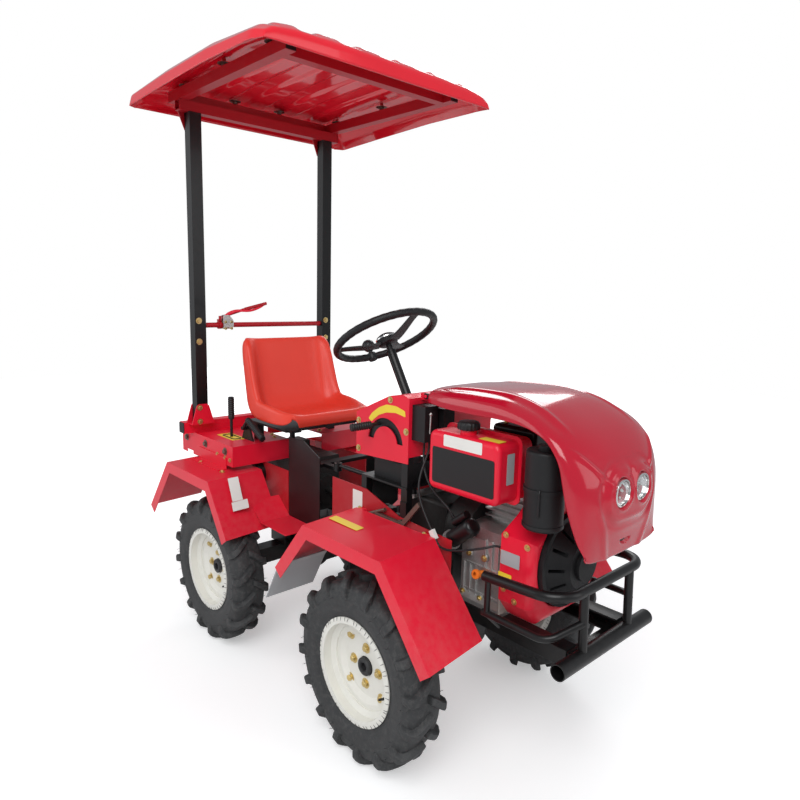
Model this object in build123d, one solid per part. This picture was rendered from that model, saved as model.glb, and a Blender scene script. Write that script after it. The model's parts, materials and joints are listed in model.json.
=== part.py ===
from build123d import *
from math import cos, hypot, radians, sin
import os

# A centre-pivot mini tractor: four equal wheels on two fixed axles, an air-cooled diesel under
# a rear-hinged hood, and a seat, control decks and canopy on the rear half. Millimetres.
# Places are measured from the centre pivot (x forward, y left, z up from the ground) and every
# node is moved by FRAME_SHIFT at the end, so the origin lies midway along the overall length.

# Wheels and axles
WHEELBASE = 948.0
TYRE_R = 290.0
TYRE_WIDTH = 128.0
TYRE_WALL = 9.0
LUG_HEIGHT = 18.0
LUG_THICKNESS = 25.0
LUGS_PER_SIDE = 16
LUG_SWEEP = 42.0
RIM_FACE = 449.5
RIM_WIDTH = 112.0
RIM_FLANGE_R = 165.0
RIM_SEAT_R = 152.4
RIM_WELL_R = 134.0
RIM_SHEET = 3.2
DISC_FACE = 396.0
DISC_SHEET = 4.0
HUB_R = 28.0
HUB_STAND_OUT = 10.0
HUB_FLANGE_R = 78.0
HUB_FLANGE_T = 9.0
HUB_INNER_R = 32.0
HUB_LENGTH = 68.0
HUB_HEX = 24.0
WHEEL_BOLT_HOLE_R = 6.5
OUTER_BOLT_CIRCLE_R = 104.0
INNER_BOLT_CIRCLE_R = 58.0
BOLTS_PER_CIRCLE = 4
SPINDLE_R = 17.5
RUNNING_FIT = 0.05
SKIN_GAP = 0.3
AXLE_BAR = 66.0
GEAR_CASE_HALF = 74.0
GEAR_CASE_R = 92.0

# Chassis of the front half
RAIL_Y = 130.0
RAIL_W = 50.0
RAIL_H = 48.0
RAIL_WALL = 5.0
RAIL_TOP = 488.0
RAIL_REAR = 74.0
RAIL_FRONT = 1008.0
AXLE_PLATE = 8.0
AXLE_PLATE_HALF = 55.0

# Centre pivot and steering parallelogram
PIVOT_PIN_R = 16.0
KNUCKLE_R = 36.0
KNUCKLE_Z0 = 392.0
KNUCKLE_Z1 = 508.0
PIVOT_EAR = 16.0
PIVOT_GAP = 0.3
STEER_ANGLE = 20.0
LINK_ARM = 150.0
LINK_LENGTH = 400.0
LINK_Z = 778.0
LINK_R = 8.0
LINK_EYE_R = 15.0
LINK_EYE_H = 16.0
LINK_PIN_R = 6.0
LINK_PLATE = 13.0
LINK_SLACK = 0.5
PITMAN_Z1 = LINK_Z - LINK_EYE_H / 2 - 0.3

# Double-jointed drive shaft over the pivot
SHAFT_Z = 590.0
SHAFT_JOINT_X = 112.0
SHAFT_R = 15.0
SLEEVE_R = 24.0
SHAFT_FIT = 0.1
CROSS_R = 8.0

# Engine
CRANK_Z = 668.0
ENGINE_REAR = 606.0
CASE_LENGTH = 176.0
CASE_HALF_W = 128.0
CYLINDER_Y = 22.0
CYLINDER_HALF = 62.0
CYLINDER_Z1 = 866.0
HEAD_Z1 = 940.0
FIN_COUNT = 7
FIN_T = 5.0
SHROUD_R = 164.0
STARTER_R = 26.0
SOLENOID_R = 13.0
SHROUD_DEPTH = 112.0
RECOIL_R = 138.0
RECOIL_DEPTH = 74.0
TANK_X0 = 530.0
TANK_LENGTH = 268.0
TANK_FACE = 216.0
TANK_DEPTH = 150.0
TANK_Z0 = 836.0
TANK_HEIGHT = 180.0
TANK_ROUND = 24.0
CLEANER_X = 906.0
CLEANER_Y = -150.0
CLEANER_R = 54.0
CLEANER_Z0 = 800.0
CLEANER_HEIGHT = 216.0

# Leads from the wiring box, as route points
LEAD_R = 3.5
CONNECTOR_SIZE = (17.0, 12.0, 30.0)
WIRING_BOX_Z = 958.0
UPPER_LEAD = [(470, -150, WIRING_BOX_Z), (470, -150, 930), (472, -166, 900), (476, -188, 864), (482, -204, 826),
              (496, -211, 788), (522, -214, 748), (556, -215, 705)]
LOWER_LEAD = [(614, -213, 660), (652, -208, 667), (694, -196, 680), (732, -178, 693),
              (ENGINE_REAR + CASE_LENGTH - 24, -154, 703), (ENGINE_REAR + CASE_LENGTH, -154, 703)]
STARTER_TERMINAL = [(ENGINE_REAR - 14, -165, 752), (ENGINE_REAR - 3, -162, 736)]
STARTER_LEAD = [(448, -150, WIRING_BOX_Z), (448, -150, 932), (455, -159, 904), (468, -168, 874), (486, -173, 844),
                (512, -175, 816), (546, -174, 794), (ENGINE_REAR - 27.5, -168.7, 771.6), STARTER_TERMINAL[0]]

# Hood: stations along x with half width, crest height and lower edge height
HOOD_REAR = 476.0
HOOD_NOSE = 1075.6
HOOD_WALL = 4.0
HOOD_OPEN = 55.0
HOOD_STRAP = 6.0
HOOD_STRAP_PLAY = 1.0
HOOD_SURFACE_TOL = 1.5
HOOD_STRAP_REACH = 40.0
HINGE_EYE = 9.0
HOOD_LAMP_DEPTH = 60.0
SLOT_Z = 782.0
SLOT_HALF = 26.0
SLOT_RISE = 5.0
HINGE_X = 456.0
HINGE_Y = 150.0
HINGE_Z = 1098.0
HINGE_PIN_R = 5.0
LAMP_Y = 50.0
LAMP_Z = 919.0
LAMP_R = 31.0

# Console and steering wheel
TRAY_Z = 794.0
CONSOLE_Y = 200.0
CONSOLE_SHEET = 3.0
WHEEL_RIM_R = 186.0
WHEEL_GRIP_R = 13.5
WHEEL_CENTRE_X = 82.0
WHEEL_CENTRE_Z = 1255.0
COLUMN_TILT = 31.2
SLOT_CENTRE = (316, 925)
SLOT_OUTER_R = 86.0
SLOT_INNER_R = 58.0
COLUMN_R = 17.0
COLUMN_LENGTH = 470.0
COLUMN_TOP_DROP = 58.0
STEER_SHAFT_R = 10.0

# Fenders: folded sheet with three facets and an outer flange
FENDER_SHEET = 3.0
FENDER_FLANGE = 43.0
FENDER_SKEW = 0.12
FLAP_LAP = 26.0
FLAP_BACK = 74.0
FLAP_DROP = 134.0
FLAP_SHEET = 4.0
PANEL_Y = 200.0

# Rear half
GEARBOX_HALF = 84.0
MOTOR_X = -470.0
MOTOR_Z = 655.0
DECK_Y = 350.0
DECK_Z = 790.0
SKIRT_Z = 692.0
DECK_SHEET = 3.0
SEAT_WIDTH = 440.0
POST_Y = 327.0
POST_W = 50.0
POST_D = 46.0
POST_X = -755.0
POST_WALL = 3.0
POST_TOP = 2108.0
CROSS_TUBE = 48.0
EAR_T = 5.0
EAR_FOOT = 50.0
EAR_TOP = 28.0
EAR_Z = 920.0
CROSS_TUBE_X = -792.0
HAND_BAR_Z = 1256.0
HAND_BAR_R = 11.0
CANOPY_SKIN = 4.0

CANOPY_STATIONS = [
    # x, half width, edge height, crest height
    (-912, 500, POST_TOP + 14, POST_TOP + 42),
    (-880, 536, POST_TOP + 10, POST_TOP + 100),
    (-600, 532, POST_TOP + 22, POST_TOP + 122),
    (-260, 526, POST_TOP + 34, POST_TOP + 130),
    (30, 520, POST_TOP + 34, POST_TOP + 108),
    (94, 508, POST_TOP + 28, POST_TOP + 82),
]
FRAME_TUBE = 40.0
RAIL_OUT = 392.0
STUD_R = 7.0
FRAME_REAR = -834.0
FRAME_FRONT = 30.0
SEAT_Z = 868.0
SEAT_WALL = 7.0

# Bumper
BUMPER_X = 1034.0
BUMPER_TUBE_R = 22.5
GUARD_REAR_X = 770.0
GUARD_REAR_Z = 634.0
GUARD_BEND = 78.0
GUARD_STAY_R = 9.0
UPRIGHT_R = 12.5
BUMPER_BORE_R = 19.5
BUMPER_HALF = 231.0
GUARD_R = 14.5
GUARD_TOP_Z = 658.0
GUARD_LOW_Z = 526.0
UPRIGHT_Y = 118.0

REAR_RAIL_END = -872.0
HITCH_X = -890.0
HITCH_Z = 384.0
HITCH_GAP = 32.0
HITCH_PLATE = 10.0
HITCH_PIN_R = 12.5
FRONT_END = HOOD_NOSE
REAR_END = -962.24
FRAME_SHIFT = -(FRONT_END + REAR_END) / 2

FRONT_AXLE = WHEELBASE / 2
REAR_AXLE = -WHEELBASE / 2
AXLE_Z = TYRE_R


def block(x0, x1, y0, y1, z0, z1):
    """A box between two corners."""
    return Pos((x0 + x1) / 2, (y0 + y1) / 2, (z0 + z1) / 2) * Box(x1 - x0, y1 - y0, z1 - z0)


def rod(start, end, radius):
    """A round bar between two points."""
    a, b = Vector(*start), Vector(*end)
    plane = Plane(origin=a, z_dir=(b - a).normalized())
    return plane * Cylinder(radius, (b - a).length, align=(Align.CENTER, Align.CENTER, Align.MIN))


def tube_x(x0, x1, y, z, w, h, wall):
    """A rectangular tube along x."""
    outer = block(x0, x1, y - w / 2, y + w / 2, z - h / 2, z + h / 2)
    return outer - block(x0, x1, y - w / 2 + wall, y + w / 2 - wall, z - h / 2 + wall, z + h / 2 - wall)


def tube_y(y0, y1, x, z, w, h, wall):
    """A rectangular tube along y."""
    outer = block(x - w / 2, x + w / 2, y0, y1, z - h / 2, z + h / 2)
    return outer - block(x - w / 2 + wall, x + w / 2 - wall, y0, y1, z - h / 2 + wall, z + h / 2 - wall)


def bent_rod(points, bend, radius):
    """A round bar along a polyline whose corners are arcs of one radius."""
    path = FilletPolyline(*points, radius=bend)
    start = Plane(origin=path @ 0, z_dir=path % 0)
    return sweep(start * Circle(radius), path=path)


def ribbon(points, sheet):
    """The outline of a folded sheet in its own plane: a polyline given a thickness on its left."""
    normals = []
    for (x0, z0), (x1, z1) in zip(points, points[1:]):
        run = hypot(x1 - x0, z1 - z0)
        normals.append(((z0 - z1) / run, (x1 - x0) / run))
    pairs = zip([normals[0]] + normals, normals + [normals[-1]])
    back = []
    for (x, z), (a, b) in zip(points, pairs):
        share = sheet / (1 + a[0] * b[0] + a[1] * b[1])
        back.append((x + (a[0] + b[0]) * share, z + (a[1] + b[1]) * share))
    return list(points) + back[::-1]


def plate_xz(points, y0, y1):
    """A polygon in the side view, as a solid from y0 to y1."""
    face = Plane.XZ * make_face(Polyline(*points, close=True))
    return Pos(0, y1, 0) * extrude(face, amount=y1 - y0)


def plate_yz(points, x0, x1):
    """A polygon in the front view, as a solid from x0 to x1."""
    face = Plane.YZ * make_face(Polyline(*points, close=True))
    return Pos(x0, 0, 0) * extrude(face, amount=x1 - x0)


def plate_xy(points, z0, z1):
    """A polygon in the plan view, as a solid from z0 to z1."""
    return Pos(0, 0, z0) * extrude(make_face(Polyline(*points, close=True)), amount=z1 - z0)


def both(shape):
    """The shape and its mirror image in the middle plane."""
    return shape + mirror(shape, about=Plane.XZ)


def left_of(shape):
    """The mirror image of a right-hand piece."""
    return mirror(shape, about=Plane.XZ)


def spun(points):
    """A solid of revolution about y, from (radius, y) points."""
    face = make_face(Polyline(*[(r, y) for r, y in points], close=True))
    return revolve(face, axis=Axis.Y)


# Wheels, built for the left side with y as the distance from the middle plane

def tyre_carcass():
    """A hollow tyre casing that sits between the rim flanges."""
    mid = RIM_FACE - RIM_WIDTH / 2
    half = TYRE_WIDTH / 2
    bead = RIM_WIDTH / 2 - RIM_SHEET - SKIN_GAP
    tread_r = TYRE_R - LUG_HEIGHT
    seat = RIM_SEAT_R + SKIN_GAP
    outer = [(seat, bead), (RIM_FLANGE_R + 3, bead), ((seat + tread_r) / 2, half), (tread_r - 16, half - 7),
             (tread_r - 4, half - 24), (tread_r, 0)]
    inner = [(r - (TYRE_WALL if r > tread_r - 20 else 0), w - (0 if w == 0 else TYRE_WALL)) for r, w in outer]
    upper = outer + [(r, -w) for r, w in outer[-2::-1]]
    lower = inner + [(r, -w) for r, w in inner[-2::-1]]
    return spun([(r, mid + w) for r, w in upper + lower[::-1]])


def tyre_lug(side):
    """One slanted lug, from the tread's middle to its shoulder on one side."""
    mid = RIM_FACE - RIM_WIDTH / 2
    half = TYRE_WIDTH / 2
    tread_r = TYRE_R - LUG_HEIGHT
    lean = (half - 8) * LUG_SWEEP / 45
    half_t = LUG_THICKNESS / 2
    plan = [(-half_t, -6), (half_t, -6), (lean + half_t, half - 8), (lean - half_t, half - 8)]
    face = make_face(Polyline(*[(x, side * w) for x, w in plan], close=True))
    ring = Pos(0, mid, tread_r - 14) * extrude(face, amount=LUG_HEIGHT + 14)
    return ring


def tyre():
    """The casing with its chevron lugs, trimmed to the rolling radius."""
    mid = RIM_FACE - RIM_WIDTH / 2
    casing = tyre_carcass()
    lugs = []
    pitch = 360 / LUGS_PER_SIDE
    for side in (-1, 1):
        lug = tyre_lug(side)
        lugs += [Rot(0, pitch * (i + side / 4), 0) * lug for i in range(LUGS_PER_SIDE)]
    tread_r = TYRE_R - LUG_HEIGHT
    band = spun([(tread_r - 9, mid - TYRE_WIDTH / 2), (TYRE_R, mid - TYRE_WIDTH / 2),
                 (TYRE_R, mid + TYRE_WIDTH / 2), (tread_r - 9, mid + TYRE_WIDTH / 2)])
    blocks = [(lug & band) for lug in lugs]
    return casing + blocks


def rim():
    """A drop-centre rim with a dished disc and two circles of bolt holes."""
    inner = RIM_FACE - RIM_WIDTH
    seat = RIM_SEAT_R - RIM_SHEET
    well = RIM_WELL_R
    line = [(RIM_FLANGE_R, inner + RIM_SHEET), (seat, inner + RIM_SHEET), (seat, inner + 26), (well, inner + 34),
            (well, RIM_FACE - 40), (seat, RIM_FACE - 30), (seat, RIM_FACE - RIM_SHEET), (RIM_FLANGE_R, RIM_FACE - RIM_SHEET)]
    barrel = spun(ribbon(line, RIM_SHEET))
    disc_back = DISC_FACE - DISC_SHEET
    dish = [(HUB_R + 2, DISC_FACE), (96, DISC_FACE), (116, DISC_FACE + 10), (well, DISC_FACE + 10),
            (well, disc_back + 10), (117, disc_back + 10), (97, disc_back), (HUB_R + 2, disc_back)]
    wheel = barrel + spun(dish)
    for radius, phase in ((OUTER_BOLT_CIRCLE_R, 45), (INNER_BOLT_CIRCLE_R, 0)):
        for i in range(BOLTS_PER_CIRCLE):
            turn = Rot(0, 360 / BOLTS_PER_CIRCLE * i + phase, 0)
            wheel -= turn * rod((radius, disc_back - 6, 0), (radius, DISC_FACE + 16, 0), WHEEL_BOLT_HOLE_R)
    return wheel


def hub():
    """A flanged hub with a blind bearing bore inside and a hexagon socket in its outer end."""
    disc_back = DISC_FACE - DISC_SHEET
    end = DISC_FACE + HUB_STAND_OUT
    start = end - HUB_LENGTH - HUB_STAND_OUT
    body = rod((0, disc_back - HUB_FLANGE_T, 0), (0, end, 0), HUB_R)
    body += rod((0, disc_back - HUB_FLANGE_T, 0), (0, disc_back, 0), HUB_FLANGE_R)
    body += rod((0, start, 0), (0, disc_back - HUB_FLANGE_T, 0), HUB_INNER_R)
    body -= rod((0, start, 0), (0, DISC_FACE - 6, 0), SPINDLE_R + RUNNING_FIT)
    socket = extrude(Plane(origin=(0, end, 0), z_dir=(0, -1, 0)) * RegularPolygon(HUB_HEX / 2, 6, major_radius=False),
                     amount=HUB_STAND_OUT + 2)
    return body - socket


def on_corner(shape, axle_x, side):
    """A wheel piece placed at one corner; side is 1 for left and -1 for right."""
    turned = shape if side > 0 else Rot(0, 0, 180) * shape
    return Pos(axle_x, 0, AXLE_Z) * turned


def axle(axle_x):
    """A square axle housing either side of the gear case, with a round spindle at each end."""
    start = DISC_FACE + HUB_STAND_OUT - HUB_LENGTH - HUB_STAND_OUT
    housing_end = start - 8
    bar = block(-AXLE_BAR / 2, AXLE_BAR / 2, GEAR_CASE_HALF, housing_end, -AXLE_BAR / 2, AXLE_BAR / 2)
    collar = rod((0, housing_end - 14, 0), (0, housing_end, 0), AXLE_BAR / 2 + 9)
    spindle = rod((0, housing_end, 0), (0, DISC_FACE - 8, 0), SPINDLE_R)
    return Pos(axle_x, 0, AXLE_Z) * both(bar + collar + spindle)


def gear_case(axle_x, nose_dir):
    """The round differential case in the middle of an axle, with its pinion nose."""
    drum = rod((0, -GEAR_CASE_HALF, 0), (0, GEAR_CASE_HALF, 0), GEAR_CASE_R)
    drum = fillet(drum.edges().filter_by(GeomType.CIRCLE), 22)
    nose = rod((0, 0, 0), (nose_dir * 150, 0, 0), 44) + rod((nose_dir * 136, 0, 0), (nose_dir * 150, 0, 0), 58)
    return Pos(axle_x, 0, AXLE_Z) * (drum + nose)


# Front half

def front_chassis():
    """Two channel rails with cross members, axle plates and the fork of the centre pivot."""
    z0 = RAIL_TOP - RAIL_H
    outer_y = RAIL_Y + RAIL_W / 2
    inner_y = RAIL_Y - RAIL_W / 2
    rail = block(RAIL_REAR, RAIL_FRONT, -outer_y, -inner_y, z0, RAIL_TOP)
    rail -= block(RAIL_REAR, RAIL_FRONT, -outer_y + RAIL_WALL, -inner_y, z0 + RAIL_WALL, RAIL_TOP - RAIL_WALL)
    frame = both(rail)
    for x in (RAIL_REAR, 330.0, 560.0, RAIL_FRONT - 40):
        frame += block(x, x + 40, -inner_y, inner_y, z0, z0 + 8)
    for side in (-1, 1):
        y = side * (inner_y + AXLE_PLATE / 2 + 2)
        frame += block(FRONT_AXLE - AXLE_PLATE_HALF, FRONT_AXLE + AXLE_PLATE_HALF,
                       y - AXLE_PLATE / 2, y + AXLE_PLATE / 2, AXLE_Z + AXLE_BAR / 2, z0)
    frame += block(RAIL_REAR, RAIL_REAR + 12, -outer_y, outer_y, KNUCKLE_Z0 - PIVOT_EAR - 20, SHAFT_Z - 45)
    for z in (KNUCKLE_Z0 - PIVOT_GAP - PIVOT_EAR, KNUCKLE_Z1 + PIVOT_GAP):
        ear = plate_xy([(0, -KNUCKLE_R), (RAIL_REAR, -80), (RAIL_REAR, 80), (0, KNUCKLE_R)], z, z + PIVOT_EAR)
        frame += ear + Pos(0, 0, z + PIVOT_EAR / 2) * Cylinder(KNUCKLE_R, PIVOT_EAR)
    frame += rod((0, 0, KNUCKLE_Z0 - PIVOT_EAR - 12), (0, 0, KNUCKLE_Z1 + PIVOT_EAR + 14), PIVOT_PIN_R)
    return frame


def front_side_plates():
    """Red plates on the rails that close the front half beside the legs and carry the fenders."""
    outline = [(38, 506), (38, 752), (230, 752), (396, 700), (628, 690), (628, 506), (396, 494), (200, 494)]
    plate = plate_xz(outline, -PANEL_Y - CONSOLE_SHEET, -PANEL_Y)
    for x in (120.0, 360.0, 590.0):
        plate += block(x, x + 40, -PANEL_Y, -RAIL_Y - RAIL_W / 2, 506, 510)
        plate += block(x, x + 40, -RAIL_Y - RAIL_W / 2 - 4, -RAIL_Y - RAIL_W / 2, RAIL_TOP - 30, 510)
    return both(plate)


def gear_train():
    """The clutch bell, the transfer box below the console and its drop case to the front axle."""
    bell = rod((500, 0, CRANK_Z), (ENGINE_REAR, 0, CRANK_Z), 108)
    bell = fillet(bell.edges().filter_by(GeomType.CIRCLE).sort_by(Axis.X)[:1], 18)
    box = block(330, 500, -88, 88, 545, 745)
    box = fillet(box.edges().filter_by(Axis.X), 16)
    out = rod((250, 0, SHAFT_Z), (330, 0, SHAFT_Z), 42) + rod((268, 0, SHAFT_Z), (280, 0, SHAFT_Z), 56)
    drop = block(404, 500, -50, 50, RAIL_TOP - 60, 545)
    return bell + box + out + drop


def front_joint_fork():
    """The driven fork of the front universal joint with its upright pins."""
    x = SHAFT_JOINT_X
    stub = rod((x + 34, 0, SHAFT_Z), (250, 0, SHAFT_Z), SHAFT_R)
    fork = block(x - 14, x + 34, -14, 14, SHAFT_Z + 22, SHAFT_Z + 32)
    fork += block(x - 14, x + 34, -14, 14, SHAFT_Z - 32, SHAFT_Z - 22)
    fork += block(x + 26, x + 40, -14, 14, SHAFT_Z - 32, SHAFT_Z + 32)
    pins = rod((x, 0, SHAFT_Z - 36), (x, 0, SHAFT_Z + 36), CROSS_R)
    return stub + fork + pins


def joint_block(x):
    """The cross block of a universal joint, turning on the fork's pins."""
    cube = block(x - 17, x + 17, -17, 17, SHAFT_Z - 21, SHAFT_Z + 21)
    cube -= rod((x, 0, SHAFT_Z - 22), (x, 0, SHAFT_Z + 22), CROSS_R + RUNNING_FIT)
    return cube


def shaft_slider():
    """The inner half of the telescoping shaft, from the front joint into the sleeve."""
    x = SHAFT_JOINT_X
    return joint_block(x) + rod((x - 17, 0, SHAFT_Z), (-SHAFT_JOINT_X + 60, 0, SHAFT_Z), SHAFT_R)


def shaft_sleeve():
    """The outer half of the telescoping shaft, carried by the rear joint."""
    x = -SHAFT_JOINT_X
    sleeve = rod((x + 17, 0, SHAFT_Z), (20, 0, SHAFT_Z), SLEEVE_R)
    sleeve -= rod((x + 30, 0, SHAFT_Z), (20, 0, SHAFT_Z), SHAFT_R + SHAFT_FIT)
    return joint_block(x) + sleeve


def engine_block():
    """Crankcase with feet, finned cylinder and head, as one casting group."""
    x0, x1 = ENGINE_REAR, ENGINE_REAR + CASE_LENGTH
    case = plate_yz([(-CASE_HALF_W - 22, RAIL_TOP), (CASE_HALF_W + 22, RAIL_TOP), (CASE_HALF_W + 22, RAIL_TOP + 14),
                     (CASE_HALF_W, RAIL_TOP + 26), (CASE_HALF_W, 692), (CASE_HALF_W - 26, 714),
                     (CYLINDER_HALF + CYLINDER_Y + 8, 722), (CYLINDER_Y - CYLINDER_HALF - 8, 722),
                     (-CASE_HALF_W + 26, 714), (-CASE_HALF_W, 692), (-CASE_HALF_W, RAIL_TOP + 26),
                     (-CASE_HALF_W - 22, RAIL_TOP + 14)], x0, x1)
    barrel = block(x0 + 26, x1 - 6, CYLINDER_Y - 46, CYLINDER_Y + 46, 722, CYLINDER_Z1)
    pitch = (CYLINDER_Z1 - 722) / FIN_COUNT
    for i in range(FIN_COUNT):
        z = 722 + pitch * (i + 0.6)
        barrel += block(x0 + 12, x1, CYLINDER_Y - CYLINDER_HALF, CYLINDER_Y + CYLINDER_HALF, z, z + FIN_T)
    head = block(x0 + 12, x1, CYLINDER_Y - CYLINDER_HALF, CYLINDER_Y + CYLINDER_HALF, CYLINDER_Z1, HEAD_Z1 - 30)
    cover = block(x0 + 26, x1 - 14, CYLINDER_Y - 42, CYLINDER_Y + 42, HEAD_Z1 - 30, HEAD_Z1)
    return case + barrel + head + fillet(cover.edges().filter_by(Axis.Z), 12)


def engine_shroud():
    """Red blower housing: flat-sided, rounded towards the front, with its duct up to the cylinder."""
    x0 = ENGINE_REAR + CASE_LENGTH
    x1 = x0 + SHROUD_DEPTH
    body = plate_yz([(-SHROUD_R, RAIL_TOP + 66), (-SHROUD_R + 44, RAIL_TOP + 10), (SHROUD_R - 44, RAIL_TOP + 10),
                     (SHROUD_R, RAIL_TOP + 66), (SHROUD_R, 790), (112, 850), (100, 880), (80, 902), (-30, 902),
                     (-46, 880), (-52, 822), (-96, 788), (-SHROUD_R, 750)], x0, x1)
    front = body.faces().sort_by(Axis.X)[-1]
    body = fillet(front.edges(), 24)
    return body - rod((x1 - 30, 0, CRANK_Z), (x1 + 1, 0, CRANK_Z), RECOIL_R + 4)


def recoil_starter():
    """Black recoil cover in front of the blower, with a ring of air slots."""
    x0 = ENGINE_REAR + CASE_LENGTH + SHROUD_DEPTH - 30
    cover = rod((x0, 0, CRANK_Z), (x0 + 44, 0, CRANK_Z), RECOIL_R)
    cover += Solid.make_cone(RECOIL_R - 14, 70, RECOIL_DEPTH - 30, Plane(origin=(x0 + 44, 0, CRANK_Z), z_dir=(1, 0, 0)))
    cover += rod((x0 + RECOIL_DEPTH + 14, 0, CRANK_Z), (x0 + RECOIL_DEPTH + 26, 0, CRANK_Z), 46)
    slot = block(x0 + 26, x0 + 130, -5, 5, CRANK_Z + 82, CRANK_Z + 118)
    for i in range(12):
        turn = Pos(0, 0, CRANK_Z) * Rot(30 * i, 0, 0) * Pos(0, 0, -CRANK_Z)
        cover -= turn * slot
    return cover


def fuel_tank():
    """Pressed steel tank of two halves that meet in a flange."""
    x0, x1 = TANK_X0, TANK_X0 + TANK_LENGTH
    z1 = TANK_Z0 + TANK_HEIGHT
    seam = -TANK_FACE + TANK_DEPTH * 0.62
    body = block(x0, x1, -TANK_FACE, -TANK_FACE + TANK_DEPTH, TANK_Z0, z1)
    body = fillet(body.edges().filter_by(Axis.Y), TANK_ROUND)
    body = fillet(body.faces().sort_by(Axis.Y)[0].edges(), TANK_ROUND * 0.7)
    flange = block(x0 - 10, x1 + 10, seam - 2, seam + 2, TANK_Z0 - 10, z1 + 10)
    flange = fillet(flange.edges().filter_by(Axis.Y), TANK_ROUND)
    neck = rod((TANK_X0 + 118, -170, z1), (TANK_X0 + 118, -170, z1 + 12), 24)
    return body + flange + neck


def fuel_cap():
    """Round ribbed cap on the tank's neck."""
    z = TANK_Z0 + TANK_HEIGHT + 12
    cap = rod((TANK_X0 + 118, -170, z), (TANK_X0 + 118, -170, z + 26), 32)
    return fillet(cap.edges().group_by(Axis.Z)[-1], 5)


def tank_bracket():
    """Steel strap bracket from the cylinder head to the tank's inner face."""
    x0 = ENGINE_REAR + 30
    y_tank = -TANK_FACE + TANK_DEPTH
    y_head = CYLINDER_Y - CYLINDER_HALF
    strap = block(x0, x0 + 90, y_tank, y_head, 878, 884)
    strap += block(x0, x0 + 90, y_tank, y_tank + 5, 850, 940)
    strap += block(x0, x0 + 90, y_head - 5, y_head, 870, 900)
    return strap


def air_cleaner():
    """Two-piece canister with a band, a lid and its elbow to the cylinder head."""
    z0, z1 = CLEANER_Z0, CLEANER_Z0 + CLEANER_HEIGHT
    can = rod((CLEANER_X, CLEANER_Y, z0), (CLEANER_X, CLEANER_Y, z1), CLEANER_R)
    can = fillet(can.edges().filter_by(GeomType.CIRCLE), 8)
    band_z = z0 + CLEANER_HEIGHT * 0.48
    can += rod((CLEANER_X, CLEANER_Y, band_z), (CLEANER_X, CLEANER_Y, band_z + 12), CLEANER_R + 3)
    lid = rod((CLEANER_X, CLEANER_Y, z1), (CLEANER_X, CLEANER_Y, z1 + 12), 24)
    elbow = bent_rod([(CLEANER_X, CLEANER_Y + 40, 920), (CLEANER_X, CYLINDER_Y, 920),
                      (ENGINE_REAR + CASE_LENGTH, CYLINDER_Y, 920)], 40, 17)
    return can + lid + elbow


def muffler():
    """Box silencer on the left of the head, with its outlet pipe."""
    y0 = CYLINDER_Y + CYLINDER_HALF + 34
    box = block(ENGINE_REAR - 10, ENGINE_REAR + 190, y0, y0 + 96, 838, 950)
    box = fillet(box.edges().filter_by(Axis.X), 26)
    neck = rod((ENGINE_REAR + 90, CYLINDER_Y + CYLINDER_HALF, 890), (ENGINE_REAR + 90, y0, 890), 18)
    outlet = bent_rod([(ENGINE_REAR + 160, y0 + 48, 838), (ENGINE_REAR + 160, y0 + 48, 780),
                       (ENGINE_REAR + 160, y0 + 130, 760)], 24, 16)
    return box + neck + outlet


def starter_motor():
    """Electric starter lying slanted beside the crankcase, with its solenoid above."""
    y = -CASE_HALF_W - 38
    a, b = (ENGINE_REAR - 14, y, 672), (ENGINE_REAR + 68, y, 738)
    body = rod(a, b, STARTER_R)
    body += rod((ENGINE_REAR - 6, y + 4, 730), (ENGINE_REAR + 44, y + 4, 768), SOLENOID_R)
    body += rod(*STARTER_TERMINAL, SOLENOID_R * 0.4)
    return body + rod((ENGINE_REAR + 28, y + 4, 700), (ENGINE_REAR + 28, -CASE_HALF_W, 700), 18)


def battery():
    """Battery box on the tray under the console."""
    z0, z1 = TRAY_Z + 6, TRAY_Z + 62
    case = block(230, 388, -172, -50, z0, z1)
    case = fillet(case.edges().filter_by(Axis.Z), 6)
    lid = block(226, 392, -173, -46, z1, z1 + 8)
    terminals = [rod((x, -68, z1 + 8), (x, -68, z1 + 14), 6) for x in (250, 368)]
    return case + lid + terminals


def front_uprights():
    """Black uprights inside the side plates that carry the battery tray and the console."""
    inner = PANEL_Y - CONSOLE_SHEET
    frame = both(block(396, 424, -inner, -inner + 24, 520, 940))
    frame += both(block(396, 424, -PANEL_Y, -inner, 520, 752))
    frame += both(block(200, 226, -PANEL_Y, -PANEL_Y + 26, 520, TRAY_Z))
    frame += both(block(200, 424, -PANEL_Y, -46, TRAY_Z, TRAY_Z + 6))
    return frame


CONSOLE_SIDE = [(168, 867), (168, 1012), (334, 1087), (400, 1098), (427, 1090), (427, 880)]


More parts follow.
